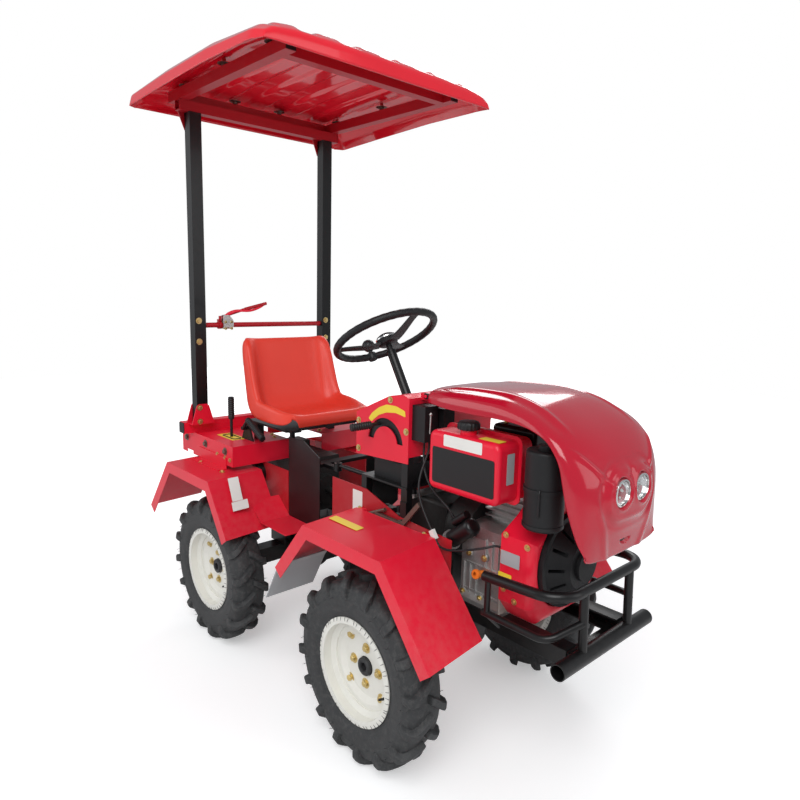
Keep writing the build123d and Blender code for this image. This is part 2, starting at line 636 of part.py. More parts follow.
def console():
    """Folded steering console with a sloped top, a curved lever slot and the hood's hinge lugs."""
    top = [(168, 900), (168, 1012), (334, 1087), (400, 1098), (427, 1090), (427, 900)]
    wrap = plate_xz(ribbon(top, -CONSOLE_SHEET), -CONSOLE_Y + CONSOLE_SHEET, CONSOLE_Y - CONSOLE_SHEET)
    side = plate_xz(CONSOLE_SIDE, -CONSOLE_Y, -CONSOLE_Y + CONSOLE_SHEET)
    x, z = SLOT_CENTRE
    outer = rod((x, -CONSOLE_Y - 1, z), (x, -CONSOLE_Y + 5, z), SLOT_OUTER_R)
    inner = rod((x, -CONSOLE_Y - 1, z), (x, -CONSOLE_Y + 5, z), SLOT_INNER_R)
    arc = block(x - SLOT_OUTER_R, x + SLOT_OUTER_R, -CONSOLE_Y - 1, -CONSOLE_Y + 5, z + 10, z + SLOT_OUTER_R)
    shell = side - ((outer - inner) & arc) + wrap + left_of(side)
    shell -= rod(column_point(-90), column_point(420), COLUMN_R + 3)
    hinge_x, hinge_z = HINGE_X, HINGE_Z
    lug = block(427, hinge_x + 8, -HINGE_Y, -HINGE_Y + 6, hinge_z - 14, hinge_z + 8)
    pin = rod((hinge_x, -HINGE_Y - 10, hinge_z), (hinge_x, -HINGE_Y, hinge_z), HINGE_PIN_R)
    return shell + both(lug + pin)


def console_lever():
    """Lever through the console's slot with a ribbed grip outside."""
    x, z = SLOT_CENTRE
    reach = (SLOT_OUTER_R + SLOT_INNER_R) / 2
    angle = radians(118)
    tip = (x + reach * cos(angle), z + reach * sin(angle))
    arm = rod((x, -CONSOLE_Y + 16, z), (tip[0], -CONSOLE_Y + 16, tip[1]), 6)
    arm += rod((x, -CONSOLE_Y + CONSOLE_SHEET, z), (x, -CONSOLE_Y + 26, z), 10)
    arm += rod((tip[0], -CONSOLE_Y + 22, tip[1]), (tip[0] - 6, -CONSOLE_Y - 30, tip[1] - 3), 6)
    grip = rod((tip[0] - 6, -CONSOLE_Y - 30, tip[1] - 3), (tip[0] - 26, -CONSOLE_Y - 92, tip[1] - 8), 11)
    return arm + grip


def control_box():
    """Dark boxes for the wiring on the console's front face."""
    return block(427, 484, -186, -128, WIRING_BOX_Z, 1070) + block(427, 500, -120, -70, 990, 1060)


def lead(points):
    """A round lead along a route whose corners are arcs as large as their two runs allow."""
    route = [Vector(*point) for point in points]
    bends = []
    for a, b, c in zip(route, route[1:], route[2:]):
        half_turn = radians((b - a).get_angle(c - b) / 2)
        bends.append(0.45 * min((b - a).length, (c - b).length) * cos(half_turn) / sin(half_turn))
    print("bends of a lead", [round(bend) for bend in bends])
    path = FilletPolyline(*route, radius=bends)
    return sweep(Plane(origin=path @ 0, z_dir=path % 0) * Circle(LEAD_R), path=path)


def lead_connector():
    """White plug-in connector in the engine lead, in line with the lead's last run."""
    end, before = Vector(*UPPER_LEAD[-1]), Vector(*UPPER_LEAD[-2])
    width, depth, length = CONNECTOR_SIZE
    body = Pos(0, 0, length / 2) * Box(width, depth, length)
    return Plane(origin=end, z_dir=end - before) * body


def engine_lead():
    """Lead from the wiring box to its connector, and on to the blower housing."""
    end, before = Vector(*UPPER_LEAD[-1]), Vector(*UPPER_LEAD[-2])
    along = (end - before).normalized()
    leave = end + along * CONNECTOR_SIZE[2]
    return lead(UPPER_LEAD) + lead([leave, leave + along * 22] + LOWER_LEAD)


def column_point(down):
    """A point on the steering axis, this far below the steering wheel's centre."""
    tilt = radians(COLUMN_TILT)
    return (WHEEL_CENTRE_X + down * sin(tilt), 0, WHEEL_CENTRE_Z - down * cos(tilt))


def steering_column():
    """Tube around the steering shaft, from the wheel down to the steering box."""
    top, foot = column_point(COLUMN_TOP_DROP), column_point(COLUMN_TOP_DROP + COLUMN_LENGTH)
    tube = rod(top, foot, COLUMN_R)
    return tube - rod(top, column_point(COLUMN_TOP_DROP + 120), STEER_SHAFT_R + RUNNING_FIT)


def steering_box():
    """Cast steering gear around the column's foot, with its output shaft pointing down."""
    top = LINK_Z + 44
    body = block(LINK_LENGTH - 74, LINK_LENGTH + 50, -38, 38, LINK_Z + 6, top)
    body = fillet(body.edges().filter_by(Axis.Z), 14)
    body += rod((LINK_LENGTH, 0, PITMAN_Z1 + SKIN_GAP), (LINK_LENGTH, 0, LINK_Z + 6), 26)
    body += rod((LINK_LENGTH, 0, PITMAN_Z1 - LINK_PLATE - 6), (LINK_LENGTH, 0, LINK_Z + 6), 12)
    foot = COLUMN_TOP_DROP + COLUMN_LENGTH
    return body - rod(column_point(foot), column_point(foot - 200), COLUMN_R + SKIN_GAP)


def pitman_arm():
    """Arm on the steering box's output shaft, with the upright pin that pushes the drag link."""
    x, z0, z1 = LINK_LENGTH, PITMAN_Z1 - LINK_PLATE, PITMAN_Z1
    arm = plate_xy([(x - 16, 0), (x + 16, 0), (x + 11, -LINK_ARM), (x - 11, -LINK_ARM)], z0, z1)
    arm += rod((x, 0, z0), (x, 0, z1), 24)
    arm += rod((x, -LINK_ARM, z0), (x, -LINK_ARM, z1), LINK_EYE_R)
    arm += rod((x, -LINK_ARM, z1), (x, -LINK_ARM, LINK_Z + LINK_EYE_H / 2 + 3), LINK_PIN_R)
    return arm - rod((x, 0, z0), (x, 0, z1), 12 + RUNNING_FIT)


def drag_link():
    """Straight rod with an eye at each end, from the pitman arm to the rear half's arm."""
    z0, z1 = LINK_Z - LINK_EYE_H / 2, LINK_Z + LINK_EYE_H / 2
    link = rod((LINK_EYE_R - 2, -LINK_ARM, LINK_Z), (LINK_LENGTH - LINK_EYE_R + 2, -LINK_ARM, LINK_Z), LINK_R - 2)
    link += rod((40, -LINK_ARM, LINK_Z), (LINK_LENGTH - 40, -LINK_ARM, LINK_Z), LINK_R)
    for x in (0, LINK_LENGTH):
        link += rod((x, -LINK_ARM, z0), (x, -LINK_ARM, z1), LINK_EYE_R)
    link -= rod((LINK_LENGTH, -LINK_ARM, z0), (LINK_LENGTH, -LINK_ARM, z1), LINK_PIN_R + RUNNING_FIT)
    return link - rod((0, -LINK_ARM, z0), (0, -LINK_ARM, z1), LINK_PIN_R + LINK_SLACK)


def steering_wheel():
    """Rim, three spokes, cap, spinner knob and the shaft that runs in the column."""
    tilt = radians(COLUMN_TILT)
    plane = Plane(origin=column_point(0), x_dir=(cos(tilt), 0, sin(tilt)), z_dir=(-sin(tilt), 0, cos(tilt)))
    ring = revolve(Plane.XZ * Pos(WHEEL_RIM_R, 0) * Circle(WHEEL_GRIP_R), axis=Axis.Z)
    hub_part = Pos(0, 0, -22) * Cylinder(34, 44) + Pos(0, 0, 8) * Cylinder(40, 30)
    wheel = ring + hub_part
    for angle in (90, 210, 330):
        inner, outer = Vector(30, 0, -16).rotate(Axis.Z, angle), Vector(WHEEL_RIM_R, 0, 0).rotate(Axis.Z, angle)
        wheel += rod(tuple(inner), tuple(outer), 11)
    knob_at = Vector(WHEEL_RIM_R, 0, 0).rotate(Axis.Z, 250)
    wheel += rod((knob_at.X, knob_at.Y, 10), (knob_at.X, knob_at.Y, 46), 20)
    wheel += rod((0, 0, -COLUMN_TOP_DROP - 100), (0, 0, -44), STEER_SHAFT_R)
    return plane * wheel


HOOD_STATIONS = [
    # lower edge x, half width and height, then crest x and height, and the roundness of the arch
    (476, 168, 1083, 476, 1128, 4.0),
    (560, 183, 1078, 575, 1139, 3.8),
    (660, 192, 1078, 675, 1146, 3.6),
    (760, 199, 1081, 780, 1147, 3.4),
    (842, 205, 1080, 865, 1132, 3.2),
    (898, 212, 1072, 928, 1107, 3.0),
    (942, 217, 1056, 984, 1074, 2.8),
    (971, 219, 1029, 1025, 1037, 2.6),
    (990, 218, 995, 1052, 998, 2.5),
    (1001, 216, 950, 1068, 955, 2.5),
    (1011, 212, 903, HOOD_NOSE, 912, 2.4),
    (1024, 205, 856, 1074, 860, 2.4),
    (1041, 195, 805, 1069, 800, 2.3),
    (1060, 176, 760, 1060, 742, 2.2),
]
HOOD_ARCH_POINTS = 17


def hood_arch(edge_x, half, edge_z, crest_x, crest_z, roundness):
    """Points of one arch, a superellipse in the plane through its two lower edges and its crest."""
    points = []
    for i in range(HOOD_ARCH_POINTS):
        turn = 180 * i / (HOOD_ARCH_POINTS - 1)
        across, rise = cos(radians(turn)), abs(sin(radians(turn))) ** (2 / roundness)
        y = -half * abs(across) ** (2 / roundness) * (1 if across > 0 else -1)
        points.append(Vector(edge_x + (crest_x - edge_x) * rise, y, edge_z + (crest_z - edge_z) * rise))
    return points


def hood_strap():
    """Steel hinge strap under the rear edge, welded to a rib that meets the skin."""
    y1 = -HINGE_Y - HOOD_STRAP_PLAY
    y0 = y1 - HOOD_STRAP
    strap = block(HINGE_X - HINGE_EYE, HOOD_REAR + HOOD_STRAP_REACH, y0, y1, HINGE_Z - HINGE_EYE, HINGE_Z + HINGE_EYE)
    rib = block(HOOD_REAR + HOOD_STRAP_REACH / 3, HOOD_REAR + HOOD_STRAP_REACH, y0, y1, HINGE_Z, HINGE_Z + 26)
    return strap + rib - rod((HINGE_X, y0 - 1, HINGE_Z), (HINGE_X, y1 + 1, HINGE_Z), HINGE_PIN_R + RUNNING_FIT)


def hood_skin(inset):
    """A smooth face through the arches, each drawn in by the inset along its crest's normal."""
    arches = []
    last = len(HOOD_STATIONS) - 1
    for i, (edge_x, half, edge_z, crest_x, crest_z, roundness) in enumerate(HOOD_STATIONS):
        before, after = HOOD_STATIONS[max(i - 1, 0)], HOOD_STATIONS[min(i + 1, last)]
        run_x, run_z = after[3] - before[3], after[4] - before[4]
        run = hypot(run_x, run_z)
        arches.append(hood_arch(edge_x, half - inset, edge_z, crest_x + inset * run_z / run,
                                crest_z - inset * run_x / run, roundness))
    return Face.make_surface_from_array_of_points(arches, tol=HOOD_SURFACE_TOL, min_deg=3, max_deg=3)


def skin_edges(skin):
    """The rear, chin, right and left edges of a hood skin."""
    return [skin.edges().sort_by(axis)[i] for axis, i in ((Axis.X, 0), (Axis.Z, 0), (Axis.Y, 0), (Axis.Y, -1))]


def hood():
    """Rounded hood shell with a cheek down each side of the nose, two lamp holes and a slot below."""
    outer, inner = hood_skin(0), hood_skin(HOOD_WALL)
    rims = [Face.make_surface_from_curves(a, b) for a, b in zip(skin_edges(outer), skin_edges(inner))]
    shell = Solid(Shell([outer, inner] + rims))
    reach = HOOD_LAMP_DEPTH + HOOD_WALL
    lamps = both(rod((HOOD_NOSE - reach, LAMP_Y, LAMP_Z), (HOOD_NOSE + reach, LAMP_Y, LAMP_Z), LAMP_R + SKIN_GAP))
    slot = block(HOOD_NOSE - reach, HOOD_NOSE + reach, -SLOT_HALF, SLOT_HALF, SLOT_Z - SLOT_RISE, SLOT_Z + SLOT_RISE)
    return shell - lamps - slot + both(hood_strap())


def headlights():
    """Two round lamps set in the nose."""
    lamps = [rod((HOOD_NOSE - 40, s * LAMP_Y, LAMP_Z), (HOOD_NOSE - 2, s * LAMP_Y, LAMP_Z), LAMP_R) for s in (-1, 1)]
    return lamps[0] + lamps[1]


def front_bumper():
    """Open lower tube, two uprights and two bent guard loops stayed to the rails."""
    z0 = RAIL_TOP - BUMPER_TUBE_R + 2
    side = BUMPER_HALF - GUARD_R
    front_z = GUARD_REAR_Z + (GUARD_TOP_Z - GUARD_REAR_Z) * 0.7
    frame = rod((BUMPER_X, -BUMPER_HALF, z0), (BUMPER_X, BUMPER_HALF, z0), BUMPER_TUBE_R)
    frame += bent_rod([(GUARD_REAR_X, -side, GUARD_REAR_Z), (BUMPER_X - 8, -side, front_z),
                       (BUMPER_X - 8, side, front_z), (GUARD_REAR_X, side, GUARD_REAR_Z)], GUARD_BEND, GUARD_R)
    stay_x = GUARD_REAR_X + GUARD_R
    for s in (-1, 1):
        frame += rod((BUMPER_X + 1, s * UPRIGHT_Y, z0), (BUMPER_X - 6, s * UPRIGHT_Y, front_z), UPRIGHT_R)
        frame += bent_rod([(GUARD_REAR_X, s * side, GUARD_LOW_Z), (BUMPER_X - 50, s * side, GUARD_LOW_Z),
                           (BUMPER_X, s * UPRIGHT_Y, GUARD_LOW_Z + 40)], GUARD_BEND * 0.7, GUARD_R - 4)
        frame += block(RAIL_FRONT, BUMPER_X - BUMPER_TUBE_R + 2, s * RAIL_Y - 20, s * RAIL_Y + 20,
                       RAIL_TOP - RAIL_H, RAIL_TOP - 8)
        frame += rod((stay_x, s * side, GUARD_LOW_Z), (stay_x, s * side, GUARD_REAR_Z), GUARD_STAY_R)
        frame += rod((stay_x, s * side, GUARD_LOW_Z), (stay_x, s * (RAIL_Y + RAIL_W / 2), RAIL_TOP - 20), GUARD_STAY_R)
    frame -= both(block(GUARD_REAR_X, RAIL_FRONT, -RAIL_Y - RAIL_W / 2, -RAIL_Y + RAIL_W / 2,
                        RAIL_TOP - RAIL_H, RAIL_TOP))
    return frame - rod((BUMPER_X, -BUMPER_HALF, z0), (BUMPER_X, BUMPER_HALF, z0), BUMPER_BORE_R)


FENDERS = {
    # outer plane, inner plane, then x and z of the rear low, rear top, front top and front low corners
    "front": (466.0, 224.0, [(FRONT_AXLE - 404, 489), (FRONT_AXLE - 241, 685), (FRONT_AXLE + 133, 688),
                             (FRONT_AXLE + 335, 443)]),
    "rear": (488.0, 236.0, [(REAR_AXLE - 458, 449), (REAR_AXLE - 267, 686), (REAR_AXLE + 102, 687),
                            (REAR_AXLE + 242, 493)]),
}


def fender(name):
    """Right-hand fender: three facets on skewed folds and a flange round the outer edge."""
    outer_y, inner_y, corners = FENDERS[name]
    along = Vector(-FENDER_SKEW, 1, 0)
    width = outer_y - inner_y
    face = Plane.XZ * make_face(Polyline(*ribbon(corners, -FENDER_SHEET), close=True))
    facets = Pos(0, -outer_y, 0) * extrude(face, amount=width * along.length, dir=along)
    flange_face = Plane.XZ * make_face(Polyline(*ribbon(corners, -FENDER_FLANGE), close=True))
    flange = Pos(0, -outer_y + FENDER_SHEET, 0) * extrude(flange_face, amount=FENDER_SHEET)
    return facets + flange


def front_fender():
    """Front fender with its inner brackets to the side plate."""
    shape = fender("front")
    for x in (205.0, 520.0):
        shape += block(x, x + 28, -226, -PANEL_Y - CONSOLE_SHEET, 678, 682)
        shape += block(x, x + 28, -PANEL_Y - CONSOLE_SHEET - 3, -PANEL_Y - CONSOLE_SHEET, 640, 682)
    return shape


def mud_flap():
    """Flat flap on the low rear edge of the front fender."""
    outer_y, inner_y, corners = FENDERS["front"]
    (x0, z0), (x1, z1) = corners[:2]
    run = hypot(x1 - x0, z1 - z0)
    along, below = ((x1 - x0) / run, (z1 - z0) / run), ((z1 - z0) / run, (x0 - x1) / run)
    low = (x0 + below[0] * (FENDER_SHEET + SKIN_GAP), z0 + below[1] * (FENDER_SHEET + SKIN_GAP))
    top = (low[0] + along[0] * FLAP_LAP, low[1] + along[1] * FLAP_LAP)
    outline = ribbon([top, low, (low[0] - FLAP_BACK, low[1] - FLAP_DROP)], FLAP_SHEET)
    return plate_xz(outline, -outer_y + 6, -inner_y - 38)


def pedal():
    """Flat bent pedal arm turning on a boss of the side plate, and the steel rod beside it."""
    y = -PANEL_Y - CONSOLE_SHEET - 12
    arm = plate_xz(ribbon([(296, 678), (428, 676), (506, 766)], 15), y - 5, y + 5)
    arm += rod((412, y, 686), (412, -PANEL_Y - CONSOLE_SHEET, 686), 10)
    lever = rod((246, y, 671), (340, y, 712), 5)
    return arm + lever + rod((330, y, 706), (330, -PANEL_Y - CONSOLE_SHEET, 706), 6)



# Rear half

def rear_chassis():
    """Rails, knuckle and upright plates that carry the deck, gearbox and axle."""
    bore = rod((0, 0, KNUCKLE_Z0), (0, 0, KNUCKLE_Z1), PIVOT_PIN_R + RUNNING_FIT)
    frame = rod((0, 0, KNUCKLE_Z0), (0, 0, KNUCKLE_Z1), KNUCKLE_R)
    frame += block(-90, 0, -26, 26, KNUCKLE_Z0 + 14, KNUCKLE_Z1 - 14)
    frame += block(-110, -90, -RAIL_Y - RAIL_W / 2, RAIL_Y + RAIL_W / 2, KNUCKLE_Z0 - 20, SHAFT_Z - 50)
    rail = block(REAR_RAIL_END, -110, -RAIL_Y - RAIL_W / 2, -RAIL_Y + RAIL_W / 2, RAIL_TOP - RAIL_H, RAIL_TOP)
    rail -= block(REAR_RAIL_END, -110, -RAIL_Y - RAIL_W / 2 + RAIL_WALL, -RAIL_Y + RAIL_W / 2,
                  RAIL_TOP - RAIL_H + RAIL_WALL, RAIL_TOP - RAIL_WALL)
    frame += both(rail)
    inner_y = RAIL_Y - RAIL_W / 2
    for x in (-230.0, REAR_RAIL_END):
        frame += block(x, x + 40, -inner_y, inner_y, RAIL_TOP - RAIL_H, RAIL_TOP - RAIL_H + 8)
    for side in (-1, 1):
        y = side * (inner_y + AXLE_PLATE / 2 + 2)
        frame += block(REAR_AXLE - AXLE_PLATE_HALF, REAR_AXLE + AXLE_PLATE_HALF,
                       y - AXLE_PLATE / 2, y + AXLE_PLATE / 2, AXLE_Z + AXLE_BAR / 2, RAIL_TOP - RAIL_H)
    for z in (HITCH_Z, HITCH_Z + HITCH_GAP + HITCH_PLATE):
        frame += block(HITCH_X, REAR_RAIL_END + 40, -38, 38, z, z + HITCH_PLATE)
        frame += Pos(HITCH_X, 0, z + HITCH_PLATE / 2) * Cylinder(38, HITCH_PLATE)
        frame -= Pos(HITCH_X, 0, z + HITCH_PLATE / 2) * Cylinder(HITCH_PIN_R, HITCH_PLATE + 2)
    frame += block(REAR_RAIL_END, REAR_RAIL_END + 40, -38, 38, HITCH_Z, RAIL_TOP - RAIL_H)
    return frame - bore


def rear_side_plates():
    """Red upright plates between the rails and the decks."""
    outline = [(-640, RAIL_TOP - 20), (-640, DECK_Z - 84), (-258, DECK_Z - 84), (-258, RAIL_TOP - 20)]
    plate = plate_xz(outline, -PANEL_Y, -PANEL_Y + CONSOLE_SHEET)
    plate -= rod((MOTOR_X, -PANEL_Y - 1, MOTOR_Z), (MOTOR_X, -PANEL_Y + 5, MOTOR_Z), 20)
    for x in (-600.0, -300.0):
        plate += block(x, x + 40, -PANEL_Y + CONSOLE_SHEET, -RAIL_Y - RAIL_W / 2, RAIL_TOP - 20, RAIL_TOP - 14)
    return both(plate)


def seat_box():
    """Black box in front of the gearbox: upright plates, a cross plate and the drag link's arm."""
    outline = [(-254, 500), (-254, 846), (-150, 846), (-46, 800), (-46, 560), (-110, 500)]
    plate = plate_xz(outline, -PANEL_Y, -PANEL_Y + CONSOLE_SHEET)
    plate += block(-240, -200, -PANEL_Y + CONSOLE_SHEET, -RAIL_Y - RAIL_W / 2, 500, 506)
    plate += block(-240, -200, -RAIL_Y - RAIL_W / 2 - 4, -RAIL_Y - RAIL_W / 2, RAIL_TOP - 30, 506)
    box = both(plate)
    z0, z1 = PITMAN_Z1 - LINK_PLATE, PITMAN_Z1
    box += block(-110, -70, -PANEL_Y + CONSOLE_SHEET, PANEL_Y - CONSOLE_SHEET, z0, z1)
    box += block(-70, 0, -LINK_ARM - 12, -LINK_ARM + 12, z0, z1) + rod((0, -LINK_ARM, z0), (0, -LINK_ARM, z1), LINK_EYE_R)
    return box + rod((0, -LINK_ARM, z1), (0, -LINK_ARM, LINK_Z + LINK_EYE_H / 2 + 3), LINK_PIN_R)


def rear_motor():
    """Round motor on the right side plate, below the deck."""
    drum = rod((MOTOR_X, -PANEL_Y - 30, MOTOR_Z), (MOTOR_X, -PANEL_Y, MOTOR_Z), 44)
    return fillet(drum.edges().filter_by(GeomType.CIRCLE).sort_by(Axis.Y)[:1], 8)


def gearbox():
    """Main gearbox under the seat with its input flange."""
    box = block(-640, -300, -GEARBOX_HALF, GEARBOX_HALF, RAIL_TOP + 4, 724)
    box = fillet(box.edges().filter_by(Axis.X), 8)
    nose = rod((-300, 0, SHAFT_Z), (-262, 0, SHAFT_Z), 62)
    tower = block(-560, -470, -50, 50, 724, 760)
    return box + nose + tower


def rear_joint_fork():
    """The driving fork of the rear universal joint with its upright pins."""
    x = -SHAFT_JOINT_X
    stub = rod((-262, 0, SHAFT_Z), (x - 34, 0, SHAFT_Z), SHAFT_R)
    fork = block(x - 34, x + 14, -14, 14, SHAFT_Z + 22, SHAFT_Z + 32)
    fork += block(x - 34, x + 14, -14, 14, SHAFT_Z - 32, SHAFT_Z - 22)
    fork += block(x - 40, x - 26, -14, 14, SHAFT_Z - 32, SHAFT_Z + 32)
    pins = rod((x, 0, SHAFT_Z - 36), (x, 0, SHAFT_Z + 36), CROSS_R)
    return stub + fork + pins


def floor_plate():
    """Folded foot plate inside the rear fender."""
    outline = ribbon([(-330, 590), (-250, 524), (-76, 524)], -FENDER_SHEET)
    return plate_xz(outline, -330, -PANEL_Y)


def rear_fender():
    """Rear fender with its bracket up to the deck box."""
    shape = fender("rear")
    bracket = ribbon([(-DECK_Y - 40, 687), (-DECK_Y, 687), (-DECK_Y, 738)], 4)
    return shape + plate_yz(bracket, -720, -480)


def deck_boxes():
    """Folded control decks, open below, with a notched skirt outside; the right one has the gear lever's slot."""
    x0, x1 = -888, -430
    z0 = DECK_Z - 84
    box = block(x0, x1, -DECK_Y, -86, z0, DECK_Z)
    box -= block(x0 + DECK_SHEET, x1 - DECK_SHEET, -DECK_Y + DECK_SHEET, -86, z0, DECK_Z - DECK_SHEET)
    skirt = [(x0, DECK_Z - 8), (x0, SKIRT_Z), (x0 + 46, SKIRT_Z), (x0 + 30, SKIRT_Z + 42), (x0 + 104, SKIRT_Z + 30),
             (x0 + 104, SKIRT_Z), (x0 + 360, SKIRT_Z), (x0 + 360, z0), (x1, z0), (x1, DECK_Z - 8)]
    box += plate_xz(skirt, -DECK_Y, -DECK_Y + DECK_SHEET)
    left = left_of(box)
    right = box - block(-650, -560, -276, -244, DECK_Z - 10, DECK_Z + 5)
    return right + left


def cross_tube():
    """Square tube across the decks with a round-topped ear before and behind each canopy post."""
    half = POST_Y + 68
    z = DECK_Z + CROSS_TUBE / 2
    tube = tube_y(-half, half, CROSS_TUBE_X, z, CROSS_TUBE, CROSS_TUBE, 4)
    ear = [(-POST_Y - EAR_FOOT, DECK_Z + CROSS_TUBE), (-POST_Y - EAR_TOP, EAR_Z - 8), (-POST_Y - EAR_TOP + 10, EAR_Z),
           (-POST_Y + EAR_TOP - 10, EAR_Z), (-POST_Y + EAR_TOP, EAR_Z - 8), (-POST_Y + EAR_FOOT, DECK_Z + CROSS_TUBE)]
    front, back = POST_X + POST_D / 2 + SKIN_GAP, POST_X - POST_D / 2 - SKIN_GAP
    foot = block(CROSS_TUBE_X + CROSS_TUBE / 2 - 4, front + EAR_T, -POST_Y - EAR_FOOT, -POST_Y + EAR_FOOT,
                 DECK_Z + CROSS_TUBE - 6, DECK_Z + CROSS_TUBE)
    return tube + both(plate_yz(ear, front, front + EAR_T) + plate_yz(ear, back - EAR_T, back) + foot)


def canopy_posts():
    """Two square tubes up to the canopy frame."""
    x0, x1 = POST_X - POST_D / 2, POST_X + POST_D / 2
    z0 = DECK_Z + CROSS_TUBE
    post = block(x0, x1, -POST_Y - POST_W / 2, -POST_Y + POST_W / 2, z0, POST_TOP)
    post -= block(x0 + POST_WALL, x1 - POST_WALL, -POST_Y - POST_W / 2 + POST_WALL, -POST_Y + POST_W / 2 - POST_WALL,
                  z0, POST_TOP)
    return both(post)


def canopy_frame():
    """Rear cross beam on the posts, two side rails, cross beams, post brackets and spacer studs."""
    z = POST_TOP + FRAME_TUBE / 2
    frame = tube_y(-RAIL_OUT, RAIL_OUT, POST_X, z, FRAME_TUBE, FRAME_TUBE, 3)
    z_rail = POST_TOP + FRAME_TUBE * 1.5
    frame += both(tube_x(FRAME_REAR, FRAME_FRONT, -RAIL_OUT + FRAME_TUBE / 2, z_rail, FRAME_TUBE, FRAME_TUBE, 3))
    inner = RAIL_OUT - FRAME_TUBE
    for x in (FRAME_FRONT - 60, FRAME_REAR + 30):
        frame += tube_y(-inner, inner, x, z_rail, FRAME_TUBE, FRAME_TUBE, 3)
    back = POST_X - POST_D / 2 - SKIN_GAP
    outline = [(-POST_Y - 52, POST_TOP + FRAME_TUBE - 2), (-POST_Y - 52, POST_TOP + 4), (-POST_Y - 24, POST_TOP - 66),
               (-POST_Y + 24, POST_TOP - 66), (-POST_Y + 52, POST_TOP + 4), (-POST_Y + 52, POST_TOP + FRAME_TUBE - 2)]
    frame += both(plate_yz(outline, back - EAR_T, back))
    frame += both(block(back - EAR_T, POST_X - FRAME_TUBE / 2 + 1, -POST_Y - 52, -POST_Y + 52,
                        POST_TOP + 6, POST_TOP + FRAME_TUBE - 2))
    top = POST_TOP + FRAME_TUBE * 2
    studs = [rod((x, -RAIL_OUT + 20, top), (x, -RAIL_OUT + 20, top + 90), STUD_R) for x in (-720, -400, -80)]
    studs += [rod((x, -110, top), (x, -110, top + 90), STUD_R) for x in (FRAME_FRONT - 60, FRAME_REAR + 30)]
    room = Pos(0, 0, -SKIN_GAP) * canopy_inside()
    for stud in studs:
        frame += both(stud & room)
    return frame


def canopy_section(x, half, edge, crest, inset):
    """One arch of the canopy skin: an upright lip, a shoulder and a nearly flat crown."""
    w, top = half - inset, crest - inset
    low = edge - (10 if inset else 0)
    rise = top - low
    half_arch = [(w, low), (w - 10, low + rise * 0.42), (w - 44, low + rise * 0.74), (w - 130, low + rise * 0.92),
                 (w * 0.35, low + rise)]
    outline = [(-y, z) for y, z in half_arch] + half_arch[::-1]
    return Plane(origin=(x, 0, 0), x_dir=(0, 1, 0), z_dir=(1, 0, 0)) * make_face(Polyline(*outline, close=True))


def canopy_inside():
    """The space under the canopy skin."""
    ends = [CANOPY_SKIN] + [0] * (len(CANOPY_STATIONS) - 2) + [-CANOPY_SKIN]
    return loft([canopy_section(x + e, w, edge, c, CANOPY_SKIN)
                 for e, (x, w, edge, c) in zip(ends, CANOPY_STATIONS)], ruled=True)


def canopy():
    """Moulded roof skin, open below, crowned between its lips, with fore-aft ribs on top."""
    outer = loft([canopy_section(x, w, e, c, 0) for x, w, e, c in CANOPY_STATIONS], ruled=True)
    return outer - canopy_inside()


def seat():
    """One-piece moulded bucket: a curved pan and back between hollow side bolsters."""
    line = [(-240, 926), (-300, 903), (-450, 900), (-508, 930), (-540, 1010), (-578, 1196)]
    pan = plate_xz(ribbon(line, SEAT_WALL), -SEAT_WIDTH / 2 + 30, SEAT_WIDTH / 2 - 30)
    rim_line = [(-234, 912), (-262, 940), (-462, 950), (-520, 1004), (-562, 1196), (-590, 1206), (-597, 1190),
                (-597, 930), (-560, 880), (-300, SEAT_Z), (-240, 876), (-234, 912)]
    side = plate_xz(rim_line[:-1], -SEAT_WIDTH / 2, -SEAT_WIDTH / 2 + 30)
    hollow = plate_xz([(-246, 908), (-266, 932), (-458, 942), (-514, 998), (-556, 1192), (-589, 1192), (-589, 932),
                       (-556, 888), (-300, SEAT_Z + 8), (-248, 884)], -SEAT_WIDTH / 2 + 6, -SEAT_WIDTH / 2 + 24)
    front = plate_xz([(-240, 932), (-234, 912), (-240, 876), (-246, 876), (-241, 912), (-246, 930)],
                     -SEAT_WIDTH / 2 + 30, SEAT_WIDTH / 2 - 30)
    top = plate_xz([(-562, 1196), (-590, 1206), (-597, 1190), (-590, 1190), (-586, 1198), (-565, 1190)],
                   -SEAT_WIDTH / 2 + 30, SEAT_WIDTH / 2 - 30)
    return pan + both(side - hollow) + front + top


def seat_pan():
    """Black carrier under the seat with legs to the side plates and the seat box."""
    z1 = SEAT_Z - SKIN_GAP
    tray = block(-560, -262, -SEAT_WIDTH / 2 + 14, SEAT_WIDTH / 2 - 14, z1 - 8, z1)
    legs = both(block(-520, -490, -PANEL_Y, -PANEL_Y + 30, DECK_Z, z1 - 8))
    legs += both(block(-252, -240, -PANEL_Y + CONSOLE_SHEET, -PANEL_Y + 20, 820, z1 - 8))
    return tray + legs + both(block(-262, -240, -PANEL_Y + CONSOLE_SHEET, -150, z1 - 8, z1))


def hand_bar():
    """Round bar between the canopy posts behind the seat."""
    inner = POST_Y - POST_W / 2
    bar = rod((POST_X, -inner, HAND_BAR_Z), (POST_X, inner, HAND_BAR_Z), HAND_BAR_R)
    for y in (-228, -188):
        bar += rod((POST_X, y - 7, HAND_BAR_Z), (POST_X, y + 7, HAND_BAR_Z), HAND_BAR_R + 6)
    return bar


def hand_lever():
    """Cable lever clamped on the hand bar."""
    z = HAND_BAR_Z + HAND_BAR_R + 6
    lever = block(POST_X - 8, POST_X + 8, -236, -180, z, z + 8)
    lever += rod((POST_X, -222, z + 8), (POST_X, -222, z + 22), 9)
    lever += rod((POST_X, -222, z + 16), (POST_X + 12, -110, z + 52), 6) + rod((POST_X + 12, -110, z + 52),
                                                                               (POST_X + 24, -10, z + 78), 7)
    return lever


